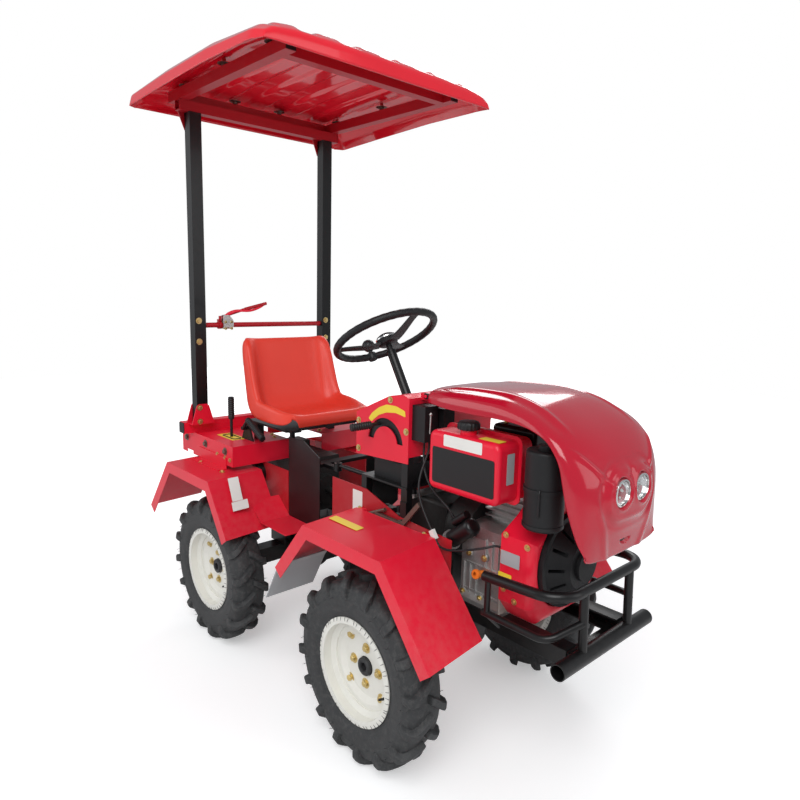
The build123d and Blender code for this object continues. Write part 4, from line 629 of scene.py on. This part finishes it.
def at_corner(shape, corner):
    """A wheel piece drawn round the origin, moved to its axle end, its outside turned outwards."""
    axle_x, side = CORNERS[corner]
    points, faces = shape
    turn = np.array([side, side, 1])
    return np.asarray(points, float) * turn + [axle_x, side * RIM_MIDDLE, AXLE_Z], faces


def wheel_bolts():
    """Hexagon bolts in both circles of holes, their heads on the disc's outside."""
    spots = [(r * np.cos(a), DISC_OUT, r * np.sin(a)) for r, phase in ((58, 0), (104, TAU / 8))
             for a in phase + TAU / 4 * np.arange(4)]
    return many(hexagon_bolt(17, 9), spots, LEFT)


def valve_stem():
    """Rubber valve through the rim's well, with its cap."""
    a = np.radians(200)
    out = np.array([np.cos(a), 0, np.sin(a)])
    foot, tip = out * 126 + [0, 12, 0], out * 116 + [0, 44, 0]
    profile = [(0, 0), (8, 0), (7, 6), (4.6, 10), (4.2, 20), (3.6, 21), (3.6, 33), (2.6, 35), (0, 35)]
    return turned(profile, foot, tip - foot, 14)


def hub_cap():
    """Turned face of the hub: a raised ring round the hexagon socket."""
    return turned([(16, 10), (16, 13), (18, 14.5), (24, 14.5), (26.5, 12.5), (28.2, 9), (28.2, 2), (16, 2)],
                  (0, DISC_OUT - 1.5, 0), LEFT, 36, closed=True)


# name, maker, finish and smooth angle
WHEEL_PIECES = [("tyre_lugs_", tyre_lugs, "tyre_rubber", 32), ("vent_hairs_", vent_hairs, "tyre_rubber", 80),
                ("wheel_bolts_", wheel_bolts, "zinc", 38), ("valve_", valve_stem, "dark_plastic", 38),
                ("hub_face_", hub_cap, "hub_iron", 30)]
for corner in CORNERS:
    wheel = "wheel_" + corner
    piece("tyre_casing_" + corner, at_corner(tyre_shell(), corner), "tyre_rubber", wheel, ["tyre_" + corner], 50)
    for start, make, finish, smooth in WHEEL_PIECES:
        piece(start + corner, at_corner(make(), corner), finish, wheel, smooth=smooth)


# Seat

SEAT_LINE = [(-236, 878), (-232, 900), (-236, 917), (-250, 925), (-285, 915), (-340, 906), (-400, 903), (-455, 906),
             (-492, 922), (-514, 952), (-530, 995), (-545, 1050), (-560, 1110), (-573, 1165), (-580, 1192),
             (-586, 1204), (-594, 1206), (-600, 1198), (-600, 1180)]
SEAT_HALF = [160, 170, 180, 190, 206, 217, 220, 220, 220, 220, 219, 218, 216, 212, 206, 198, 192, 190, 190]
SEAT_RISE = [0, 1, 3, 7, 20, 38, 48, 50, 50, 48, 44, 40, 36, 28, 16, 6, 2, 0, 0]
SEAT_SKIRT = [2, 4, 14, 26, 44, 52, 56, 58, 60, 58, 50, 44, 40, 34, 22, 10, 4, 2, 0]


def seat_shell():
    """Moulded bucket: one section of (across, rise) carried along the seat's side line.

    The flat middle swells into a bolster and folds over into a skirt. The line runs from under the front lip to
    behind the back's rim."""
    line = spline(SEAT_LINE, 130)
    half, rise, skirt = (spline(np.column_stack([a, a]), 130)[:, :1] for a in (SEAT_HALF, SEAT_RISE, SEAT_SKIRT))
    tangent = unit(np.gradient(line, axis=0))
    normal = np.column_stack([tangent[:, 1], -tangent[:, 0]])
    across = spline([(0, 0), (0.30, 0), (0.52, 0.0), (0.66, 0.08), (0.77, 0.36), (0.865, 0.82), (0.93, 1.0),
                     (0.975, 0.95), (1.0, 0.78)], 34)
    fall = np.linspace(0, 1, 9)[1:]
    lift = np.hstack([rise * across[:, 1], rise * 0.78 - skirt * fall])
    wide = np.hstack([half * across[:, 0], half + 2.5 * np.sin(fall * 2.2)])
    place = line[:, None] + lift[..., None] * normal[:, None]
    right = np.stack([place[..., 0], -wide, place[..., 1]], -1)
    left = np.stack([place[..., 0], wide, place[..., 1]], -1)
    return surface(np.concatenate([left[:, ::-1], right[:, 1:]], axis=1))


piece("seat_shell", seat_shell(), "seat_plastic", "rear_half", ["seat"], 70, wall=4, shut=False)


# Canopy

def evenly(line, count):
    """The same line with that many points at equal steps along it."""
    far = np.concatenate([[0], np.cumsum(np.linalg.norm(np.diff(line, axis=0), axis=1))])
    at = np.linspace(0, far[-1], count)
    return np.column_stack([np.interp(at, far, column) for column in line.T])


RIB_PITCH = 165
# x, half width, edge height, crest height
CANOPY_ROWS = [(-912, 500, 2122, 2123), (-912, 500, 2122, 2150), (-880, 536, 2118, 2208), (-600, 532, 2130, 2230),
               (-260, 526, 2142, 2238), (30, 520, 2142, 2216), (94, 508, 2136, 2190), (94, 508, 2136, 2137)]
# share of the half width, share of the rise
CANOPY_ARCH = [(1, 0), (0.981, 0.42), (0.917, 0.74), (0.754, 0.92), (0.35, 1), (-0.35, 1), (-0.754, 0.92),
               (-0.917, 0.74), (-0.981, 0.42), (-1, 0)]


def canopy_skin():
    """Roof: an arch of (y, z) at each x with an upright lip, a shoulder and a nearly flat crown.

    Six flat-topped ribs run fore and aft on the crown: a clipped cosine of y, faded at its ends."""
    rows = evenly(softened(CANOPY_ROWS, 16), 120)
    x, half, edge, crest = rows.T[:, :, None]
    across, rise = evenly(softened(CANOPY_ARCH, 0.05), 240).T
    y = -half * across
    z = edge + (crest - edge) * rise
    fade = np.clip((x + 884) / 30, 0, 1) * np.clip((84 - x) / 26, 0, 1)
    fade = fade * np.clip((452 - np.abs(y)) / 16, 0, 1)
    rib = np.clip(0.5 + 2.0 * np.cos((y + 82) / RIB_PITCH * TAU), 0, 1)
    z = z + 8.0 * rib * fade
    return surface(np.stack([x + 0 * y, y, z], -1))


piece("canopy_skin", canopy_skin(), "canopy_red", "rear_half", ["canopy"], 30, wall=4, shut=False)
STUDS = [(-720, 372, 2196), (-400, 372, 2206), (-80, 372, 2200), (-30, 110, 2216), (-804, 110, 2206)]
nut = turned([(0, 0), (24, 0), (24, -2.5), (10, -3), (10, -12), (0, -12)], sides=18)
piece("canopy_stud_nuts", many(nut, [(x, side * y, z) for x, y, z in STUDS for side in (-1, 1)], UP),
      "dull_steel", "rear_half")
caps = together(*(box(x, x + 2.5, -391, -353, 2149, 2187) for x in (30, -836.5)))
piece("beam_caps", both(caps), "dark_plastic", "rear_half", bevel=1.0)


# Hood

# lower edge x, half width and height, then crest x and height, and the roundness of the arch
HOOD_ROWS = [(476, 168, 1083, 476, 1128, 4.0), (560, 183, 1078, 575, 1139, 3.8), (660, 192, 1078, 675, 1146, 3.6),
             (760, 199, 1081, 780, 1147, 3.4), (842, 205, 1080, 865, 1132, 3.2), (898, 212, 1072, 928, 1107, 3.0),
             (942, 217, 1056, 984, 1074, 2.8), (971, 219, 1029, 1025, 1037, 2.6), (990, 218, 995, 1052, 998, 2.5),
             (1001, 216, 950, 1068, 955, 2.5), (1011, 212, 903, 1075.6, 912, 2.4), (1024, 205, 856, 1074, 860, 2.4),
             (1041, 195, 805, 1069, 800, 2.3), (1060, 176, 760, 1060, 742, 2.2)]
LAMP_X, LAMP_SIDE, LAMP_UP, LAMP_ROUND = 1074, 50.0, 919.0, 38.0


def eased(value):
    """0 to 1 with flat ends: 3t^2 - 2t^3 on the clipped value."""
    t = np.clip(value, 0, 1)
    return t * t * (3 - 2 * t)


def hill(distance, width):
    return np.exp(-(distance / width) ** 2)


def face_relief(x, y, z):
    """Height of the moulded face over the plain hood, from distances in the (y, z) plane.

    A raised mask round both lamps, a lip and a sunk socket at each lamp, a notch between the brows, a muzzle, a
    smiling slot, and a crease that runs from each shoulder to its lamp and another down each cheek."""
    side = np.abs(y)
    lamp = np.hypot(side - LAMP_SIDE, z - LAMP_UP)
    mask = np.hypot(np.maximum(side - LAMP_SIDE, 0), z - LAMP_UP + 6)
    height = 7.0 * eased((76 - mask) / 18) + 2.5 * hill(lamp - 44, 4) - 15 * eased((LAMP_ROUND + 2 - lamp) / 3)
    height -= 5.0 * hill(y, 13) * hill(z - 962, 20) + 2.5 * hill(mask - 84, 9)
    height += 6.0 * hill(y, 92) * hill(z - 832, 22)
    slot = (y / 30) ** 2 + ((z - 776 - 8 * (y / 30) ** 2) / 7.0) ** 2
    height -= 9.0 * eased((1 - slot) / 0.5)
    run = np.clip((z - 945) / 100, 0, 1)
    height += 5.0 * hill(side - 98 - 100 * run, 11) * eased((z - 925) / 30) * eased((1052 - z) / 30)
    height += 3.5 * hill(side - 150 + (920 - z) * 0.35, 14) * eased((930 - z) / 60)
    return height * eased((x - 960) / 70)


def shoulder_relief(x, y, z):
    """A soft crease along each side of the top and a shallow flute below it."""
    side = np.abs(y)
    line = 118 + 38 * np.clip((x - 520) / 420, 0, 1) ** 1.5
    crease = 4.0 * hill(side - line, 10) - 2.0 * hill(side - line - 22, 12)
    return crease * eased((x - 500) / 80) * eased((1000 - x) / 80)


def hood_shell():
    """Hood skin: superellipse arches from a spline through the rows, evened and then raised by the relief."""
    rows = spline(HOOD_ROWS, 13 * 16 + 1)
    low_x, half, low_z, top_x, top_z, power = rows.T[:, :, None]
    turn = np.linspace(0, np.pi, 900)
    across = np.sign(np.cos(turn)) * np.abs(np.cos(turn)) ** (2 / power)
    rise = np.abs(np.sin(turn)) ** (2 / power)
    arches = np.stack([low_x + (top_x - low_x) * rise, -half * across, low_z + (top_z - low_z) * rise], -1)
    grid = np.stack([evenly(arch, 161) for arch in arches])
    normal = np.cross(np.gradient(grid, axis=0), np.gradient(grid, axis=1))
    normal /= np.linalg.norm(normal, axis=2, keepdims=True) + 1e-9
    x, y, z = np.moveaxis(grid, -1, 0)
    return surface(grid + (face_relief(x, y, z) + shoulder_relief(x, y, z))[..., None] * normal)


piece("hood_skin", hood_shell(), "crimson_gloss", "hood", ["hood"], 60, wall=4, shut=False)
strap = together(box(447, 516, -157, -151, 1089, 1107), box(489, 516, -157, -151, 1105, 1118))
piece("hood_straps", both(strap), "black_paint", "hood", bevel=1)
# black sheet on the floor of the smiling slot: painted shade that stands in for the dark inside of the slot
smile = [(-27, 787), (-12, 776), (0, 773), (12, 776), (27, 787), (14, 784), (0, 782), (-14, 784)]
piece("slot_painted_shade", sheet(0, smile, 1055, 1058), "cable_black", "hood")


# Engine castings

ribs = [box(x, x + 6, -134, -127, 500, 606) for x in (616, 640, 664)]
ribs += [box(612, 772, -133, -127, z, z + 5) for z in (520, 606)]
ribs += [box(x, x + 5, -136, -127, 610, 700) for x in (700, 724, 748)]
piece("crankcase_ribs", together(*ribs), "cast_aluminium", bevel=1.2)
PADS = [(622, 690), (768, 690), (622, 508), (690, 508), (700, 640), (640, 640)]
pad = turned([(0, 0), (13, 0), (12, 5), (0, 5)], sides=20)
piece("crankcase_pads", many(pad, [(x, -131, z) for x, z in PADS], RIGHT), "cast_aluminium")
bolts("crankcase_bolts", [(x, -136, z) for x, z in PADS], RIGHT, 11, 5)
piece("shroud_gasket", box(778, 784, -158, 158, 500, 740), "gasket")
piece("head_cover", box(632, 792, -46, 96, 940, 1032), "black_paint", bevel=14)
bolts("head_cover_screws", [(660, -10, 1032), (764, -10, 1032), (712, 60, 1032)], UP, 10, 6)
piece("muffler_shield", box(640, 816, 118, 206, 954, 1016), "black_paint", bevel=10)


# Steering wheel

WHEEL_TILT, GRIP_R = np.radians(31.2), 186.0
WHEEL_CENTRE = np.array([82.0, 0.0, 1255.0])
WHEEL_AXIS = np.array([-np.sin(WHEEL_TILT), 0.0, np.cos(WHEEL_TILT)])
WHEEL_SIDE = np.array(RIGHT, float)
WHEEL_UP = np.cross(WHEEL_AXIS, WHEEL_SIDE)


def on_wheel(radius, degrees, lift=0.0):
    """A point on the steering wheel: polar in its plane, then along its axis."""
    a = np.radians(degrees)
    flat = np.multiply.outer(radius * np.cos(a), WHEEL_SIDE) + np.multiply.outer(radius * np.sin(a), WHEEL_UP)
    return WHEEL_CENTRE + flat + np.multiply.outer(np.asarray(lift, float), WHEEL_AXIS)


def steering_grip():
    """Rim: a ring whose round section has shallow finger waves all the way round."""
    turn = np.arange(0, 360, 2.0)
    ring = np.array([on_wheel(GRIP_R, t) for t in turn])
    return tube(ring, 13.8 + 0.35 * np.cos(np.radians(turn * 36)), 20, closed=True)


def steering_spokes():
    """Three pressed spokes: a channel section that widens from rim to boss and drops below the rim plane."""
    shapes = []
    for degrees in (90, 210, 330):
        along = np.linspace(0, 1, 14)[:, None]
        reach = 178 - 146 * along
        drop = -4 - 22 * np.sin(along * np.pi / 2) ** 1.5
        half = 14 + 12 * along ** 1.5
        across = np.array([-1, -1, -0.9, -0.45, -0.3, 0.3, 0.45, 0.9, 1, 1])
        lift = np.array([-4, 1, 3, 3, 0.6, 0.6, 3, 3, 1, -4])
        a = np.radians(degrees)
        out = np.cos(a) * WHEEL_SIDE + np.sin(a) * WHEEL_UP
        side = -np.sin(a) * WHEEL_SIDE + np.cos(a) * WHEEL_UP
        points = WHEEL_CENTRE + reach[..., None] * out + (half * across)[..., None] * side
        shapes.append(capped(points + (drop + lift)[..., None] * WHEEL_AXIS))
    return together(*shapes)


piece("steering_grip", steering_grip(), "dark_plastic", "steering_wheel", ["steering_wheel"], 80)
piece("steering_spokes", steering_spokes(), "dark_plastic", "steering_wheel", smooth=40)
# name, finish, smooth angle, whether it is a ring, then its profile
for name, finish, smooth, ring, profile in (
        ("steering_boss", "dark_plastic", 35, False, [(0, -34), (30, -34), (36, -30), (40, -18), (40, -10), (0, -10)]),
        ("steering_cap", "cable_black", 50, False,
         [(0, -10), (37, -10), (38, -6), (35, 0), (24, 6), (10, 8.5), (0, 9)]),
        ("steering_ring", "chrome", 30, True, [(38.5, -12), (41.5, -12), (41.5, -8), (38.5, -8)])):
    piece(name, turned(profile, WHEEL_CENTRE, WHEEL_AXIS, 40, ring), finish, "steering_wheel", smooth=smooth)
neck = bar(WHEEL_CENTRE - 30 * WHEEL_AXIS, WHEEL_CENTRE - 160 * WHEEL_AXIS, 10.5, 20)
piece("steering_neck", neck, "dark_plastic", "steering_wheel")
KNOB = [(0, 12), (9, 12), (11, 14), (8, 18), (8, 22), (18, 30), (24, 40), (25, 50), (22, 60), (14, 68), (0, 71)]
KNOB_CLAMP = [(16, -15), (18, -10), (18, 10), (16, 15), (8, 17), (0, 17)]
knob_at = on_wheel(GRIP_R, 250)
piece("steering_knob", together(turned(KNOB, knob_at, WHEEL_AXIS, 28), turned(KNOB_CLAMP, knob_at, WHEEL_AXIS, 20)),
      "cable_black", "steering_wheel", smooth=50)


# Headlights

def headlight(y):
    """A round lamp: bezel ring, faceted bowl, a ring of emitters and a domed lens."""
    at, axis = (LAMP_X, y, LAMP_UP), FORWARD
    bezel = turned([(31, -6), (38, -6), (38.6, -2), (37, 4), (33, 5), (31.5, 1)], at, axis, 56, closed=True)
    bowl = turned([(31.6, 0), (28, -8), (20, -13), (10, -15), (0, -15.5)], at, axis, 24)
    spots = [(LAMP_X - 11, y + r * np.cos(a), LAMP_UP + r * np.sin(a)) for r, n in ((0, 1), (17, 6))
             for a in TAU * np.arange(n) / n]
    leds = many(turned([(0, 5), (2.4, 4.4), (5, 2.6), (6, 0)], sides=14), spots, axis)
    lens = turned([(0, 6), (12, 5.4), (22, 4), (31.4, 1.4), (31.4, 0.2), (0, 4.2)], at, axis, 40)
    return bezel, bowl, leds, lens


for side, y in (("right", -LAMP_SIDE), ("left", LAMP_SIDE)):
    bezel, bowl, leds, lens = headlight(y)
    piece("lamp_bezel_" + side, bezel, "chrome", "hood", ["headlights"] if y < 0 else (), 50)
    piece("lamp_bowl_" + side, bowl, "chrome", "hood", smooth=12, shut=False)
    piece("lamp_emitters_" + side, leds, "white_plastic", "hood", smooth=60)
    piece("lamp_lens_" + side, lens, "lamp_glass", "hood", smooth=60)


# Labels, all blank

# name, finish, lift, thickness, corner radius, corners, and the body where it isn't the front half
LABELS = [
    ("tank_top_label", "yellow_label", 0.2, 0.6, 3, rectangle((712, -200, 1016), (786, -168, 1016))),
    ("tank_plate", "cable_black", 0.2, 0.8, 8,
     [(552, -216, 860), (788, -216, 860), (786, -216, 968), (550, -216, 968)]),
    ("tank_label", "white_label", 0.2, 0.6, 4, rectangle((594, -216, 976), (740, -216, 1010))),
    ("tank_front_label", "grey_label", 0.2, 0.6, 3, rectangle((799, -178, 896), (799, -146, 984))),
    ("shroud_labels", "grey_label", 0.2, 0.6, 3, rectangle((784, -165, 663), (850, -165, 704))),
    ("shroud_yellow_label", "yellow_label", 0.2, 0.6, 3, rectangle((779, -165, 616), (825, -165, 638))),
    ("fender_label", "yellow_label", 0.1, 0.5, 4,
     [(240, -369, 688), (384, -369, 688), (378, -331, 688), (236, -335, 688)]),
    ("side_plate_label", "white_label", 0.1, 0.5, 3, rectangle((157, -203, 656), (209, -203, 736))),
    ("deck_label", "yellow_label", 0.1, 0.5, 4, rectangle((-676, -292, 790), (-536, -228, 790)), "rear_half"),
]
for name, finish, lift, thick, radius, corners, *body in LABELS:
    piece(name, patch(corners, lift, thick, radius), finish, *body)
PLATES = ([(-307, -419, 610), (-303, -377, 612), (-356, -368, 685.5), (-360, -410, 688)],
          [(-286, -428, 578.5), (-281, -363, 583), (-301, -356, 611.5), (-306, -424, 608)])
piece("rear_fender_labels", together(*(patch(corners, 0.6, 0.5, 2) for corners in PLATES)), "white_label", "rear_half")
ARC = [(232, 998), (249, 1019), (283, 1042), (321, 1057), (366, 1058), (408, 1048), (412, 1029), (366, 1036),
       (321, 1031), (283, 1017), (258, 998), (248, 990)]
piece("console_arc_label", sheet(1, ARC, -200.8, -200.1, 5), "yellow_label")


# Bolts and caps

CONSOLE = [(181, 984), (181, 887), (339, 1075), (416, 983)]
for name, side in (("console_bolts", -1), ("console_bolts_left", 1)):
    bolts(name, [(x, side * 200, z) for x, z in CONSOLE], (0, side, 0), 12, 5)
bolts("bracket_bolts_front", [(520, -209, 676), (205, -209, 676)], RIGHT, 12, 5)
bolts("shroud_bolts", [(798, -164, 751), (838, -164, 564), (872, -164, 735), (798, -164, 590)], RIGHT, 10, 5)
# name, places, axis, size across the flats, head height, and the finish where it isn't zinc
for name, places, axis, across, head, *finish in (
        ("post_bolts", [(-732, y, z) for y, z in ((-334, 1276), (-334, 1188), (322, 1273), (322, 1189))],
         FORWARD, 14, 6),
        ("bracket_bolts", [(-792, side * 327, 852) for side in (-1, 1)], (-1, 0, 0), 17, 7),
        ("deck_side_bolts", [(-842, -350, 759), (-664, -350, 761), (-491, -350, 761)], RIGHT, 17, 8, "dull_steel"),
        ("deck_side_screws", [(-558, -350, 737), (-492, -350, 734), (-452, -350, 732)], RIGHT, 10, 4),
        ("ear_bolts", [(-727, side * 342, z) for side in (-1, 1) for z in (845, 905)], FORWARD, 13, 5),
        ("fender_bolts", [(x, side * y, 688) for side in (-1, 1) for x, y in ((-460, 380), (-647, 381))], UP, 12, 5),
        ("deck_top_screws", [(x, y, 790) for x, y in ((-494, -117), (-541, -100), (-869, -210), (-494, 117),
                                                      (-869, 210))], UP, 11, 4)):
    bolts(name, places, axis, across, head, "rear_half", *finish)
cap = sheet(1, [(-815, 791), (-769, 791), (-769, 837), (-815, 837)], -397.5, -395, 6)
piece("cross_tube_caps", both(cap), "dark_plastic", "rear_half")


# Lever grips

def lever_sleeve(path, radius, ridges):
    """A rubber sleeve over a lever: a round section whose radius ripples along its length, closed at both ends."""
    path = np.asarray(path, float)
    along = np.linspace(0, 1, ridges * 8 + 1)
    points = path[0] + along[:, None] * (path[1] - path[0])
    size = radius + 0.9 * np.cos(along * ridges * TAU)
    size[:2] *= [0.55, 0.88]
    size[-2:] *= [0.88, 0.55]
    return tube(points, size, 18)


lever_angle = np.radians(118)
tip = np.array([316 + 72 * np.cos(lever_angle), -200, 925 + 72 * np.sin(lever_angle)])
# name, body, two ends, radius, ridges
for name, body, path, radius, ridges in (
        ("console_lever_grip", "front_half", [tip + [-6, -26, -3], tip + [-26, -96, -8]], 12.6, 9),
        ("gear_lever_grip", "rear_half", [(-604, -260, 872), (-604, -260, 960)], 13.2, 10),
        ("brake_lever_grip", "rear_half", [(-466, -256, 881), (-348, -262, 827)], 13.2, 14)):
    piece(name, lever_sleeve(path, radius, ridges), "cable_black", body, smooth=80)
gate = [(218, 892), (236, 962), (280, 1006), (330, 1020), (382, 1002), (412, 966), (416, 900)]
piece("console_gate", sheet(1, gate, -192, -190), "cable_black")
edge = rounded([(-652, -278), (-548, -278), (-548, -242), (-652, -242)], 12, 6)
piece("gear_slot_edge", tube(np.column_stack([edge, np.full(len(edge), 791.0)]), 2.6, 8, closed=True),
      "cable_black", "rear_half", smooth=60)


# Fuel cap

CAP_AT = (648, -170)
CAP_PROFILE = [(0, 1053), (24, 1053), (29, 1051), (32, 1046), (32.6, 1032), (31, 1029), (0, 1029)]


def fluted_cap():
    """Fuel cap: a low turned drum, its wall waved by 18 flutes."""
    shape, faces = turned(CAP_PROFILE, (*CAP_AT, 0), sides=108)
    flat = shape[:, :2] - CAP_AT
    radius, angle = np.linalg.norm(flat, axis=1), np.arctan2(flat[:, 1], flat[:, 0])
    wave = np.where((radius > 28) & (shape[:, 2] < 1050), 1.1 * np.cos(18 * angle), 0.0)
    shape[:, :2] += wave[:, None] * flat / np.maximum(radius, 1)[:, None]
    return shape, faces


piece("fuel_cap_cover", fluted_cap(), "cable_black", "front_half", ["fuel_cap"], 40)


# Air cleaner

CLEANER_AT = (906, -150, 0)


def band_clip():
    """Spring clip on the air cleaner: a bent strip standing on the band."""
    a = np.radians(-68)
    out = np.array([np.cos(a), np.sin(a), 0])
    centre = np.array(CLEANER_AT) + [0, 0, 910]
    path = [centre + out * r + [0, 0, z] for r, z in ((55, -64), (60, -58), (61, -34), (58, -14), (62, -2), (57, 8))]
    return tube(spline(path, 24), 2.6, 8)


piece("cleaner_clip", band_clip(), "cable_black", slot="bright_steel", smooth=60)
bands = [[(54, 903), (56.5, 904), (56.5, 915), (54, 916)], [(54, 806), (56, 807), (56, 816), (54, 817)]]
piece("cleaner_bands", together(*(turned(band, CLEANER_AT) for band in bands)), "cable_black", smooth=40)


# Hand lever by the post

def clutch_lever():
    """Curved flat lever on the hand bar: a tapering strip along a smooth curve, thicker where it pivots."""
    line = spline([(-220, 1286), (-190, 1307), (-154, 1318), (-93, 1318), (-45, 1332), (-7, 1354)], 40)
    tangent = unit(np.gradient(line, axis=0))
    normal = np.column_stack([-tangent[:, 1], tangent[:, 0]])
    half = np.interp(np.linspace(0, 1, 40), [0, 0.15, 0.5, 0.9, 1], [5, 7, 5, 4.5, 3.5])[:, None]
    section = np.array([(-1, -1), (-0.7, -1.3), (0.7, -1.3), (1, -1), (1, 1), (0.7, 1.3), (-0.7, 1.3), (-1, 1)])
    flat = line[:, None] + (half * section[:, 0])[..., None] * normal[:, None]
    x = -735 + 3.0 * section[:, 1] + 0 * half
    return capped(np.stack([x, flat[..., 0], flat[..., 1]], -1))


piece("hand_lever", clutch_lever(), "red_paint", "rear_half", smooth=40)
MOUNT = [(-224, 1246), (-176, 1246), (-176, 1276), (-196, 1300), (-224, 1300)]
piece("hand_lever_mount", together(*(sheet(0, MOUNT, x, x + 4, 6) for x in (-745, -729))), "bright_steel", "rear_half")

CLAMPS, BAR_Z, CLAMP_R = (-214, -186), 1256, 14


def u_bolts():
    """Two U-bolts that clamp the lever's plate to the bar."""
    shapes = []
    for y in CLAMPS:
        a = np.linspace(np.pi / 2, 3 * np.pi / 2, 12)
        arc = np.column_stack([-755 + CLAMP_R * np.cos(a), np.full(12, y), BAR_Z + CLAMP_R * np.sin(a)])
        path = np.vstack([[(-722, y, BAR_Z + CLAMP_R)], arc, [(-722, y, BAR_Z - CLAMP_R)]])
        shapes.append(tube(path, 3, 10))
    spots = [(-728, y, z) for y in CLAMPS for z in (BAR_Z + CLAMP_R, BAR_Z - CLAMP_R)]
    return together(*shapes, many(hexagon_bolt(11, 6, False), spots, FORWARD))


piece("hand_lever_clamps", u_bolts(), "zinc", "rear_half", smooth=50)


# Engine dressings

DIPSTICK = ([(0, 0), (9, 0), (11, 4), (11, 14), (8, 20), (5, 30), (4.5, 34), (0, 35)],
            [(6, 30), (14, 31), (15, 36), (14, 41), (6, 42)])
dipstick = together(*(turned(profile, (695, -128, 588), (0, -1, 0.25), 20) for profile in DIPSTICK))
piece("dipstick", dipstick, "orange_plastic", smooth=40)
rod_end = turned([(0, -5), (3.5, -3.5), (5, 0), (3.5, 3.5), (0, 5)], (512, -190, 1053), UP, 14)
rod = together(bar((512, -190, 1051), (511, -190, 993), 2.4), rod_end)
piece("throttle_rod", rod, "bright_steel", smooth=60)
START, STOP = np.array([592, -166, 672.0]), np.array([674, -166, 738.0])
end = turned([(0, 12), (14, 12), (23, 9), (27, 3), (27.4, -8), (24, -8)], STOP, STOP - START, 32)
piece("starter_end", end, "black_paint", smooth=50)
flange = turned([(20, -1.5), (31, -1.5), (31, 9), (20, 9)], START, STOP - START, 32, closed=True)
piece("starter_flange", flange, "cast_aluminium", slot="bright_steel", smooth=30)


# Floor

FAR = 9000
grid = surface([[(-FAR, -FAR, 0), (FAR, -FAR, 0)], [(-FAR, FAR, 0), (FAR, FAR, 0)]])
floor = piece("floor", grid, "cream_paint", slot="", shut=False)
floor.parent = None
# glows only towards the camera and fades to white, so that it casts no light of its own
ground = Finish("ground")
direct = ground.node("LightPath", output=0)
across, along = ground.axis(0), ground.axis(1)
away = ((across * across + along * along) ** 0.5).step(3.6, 4.2)
ground.set(Base_Color=(0.86, 0.86, 0.86), Roughness=0.9, Emission_Strength=1.0)
glow = ground.blend((0.36, 0.36, 0.36), (1.0, 1.0, 1.0), away)
ground.set(Emission_Color=ground.blend((0.0, 0.0, 0.0), glow, direct))
floor.data.materials[0] = ground.material
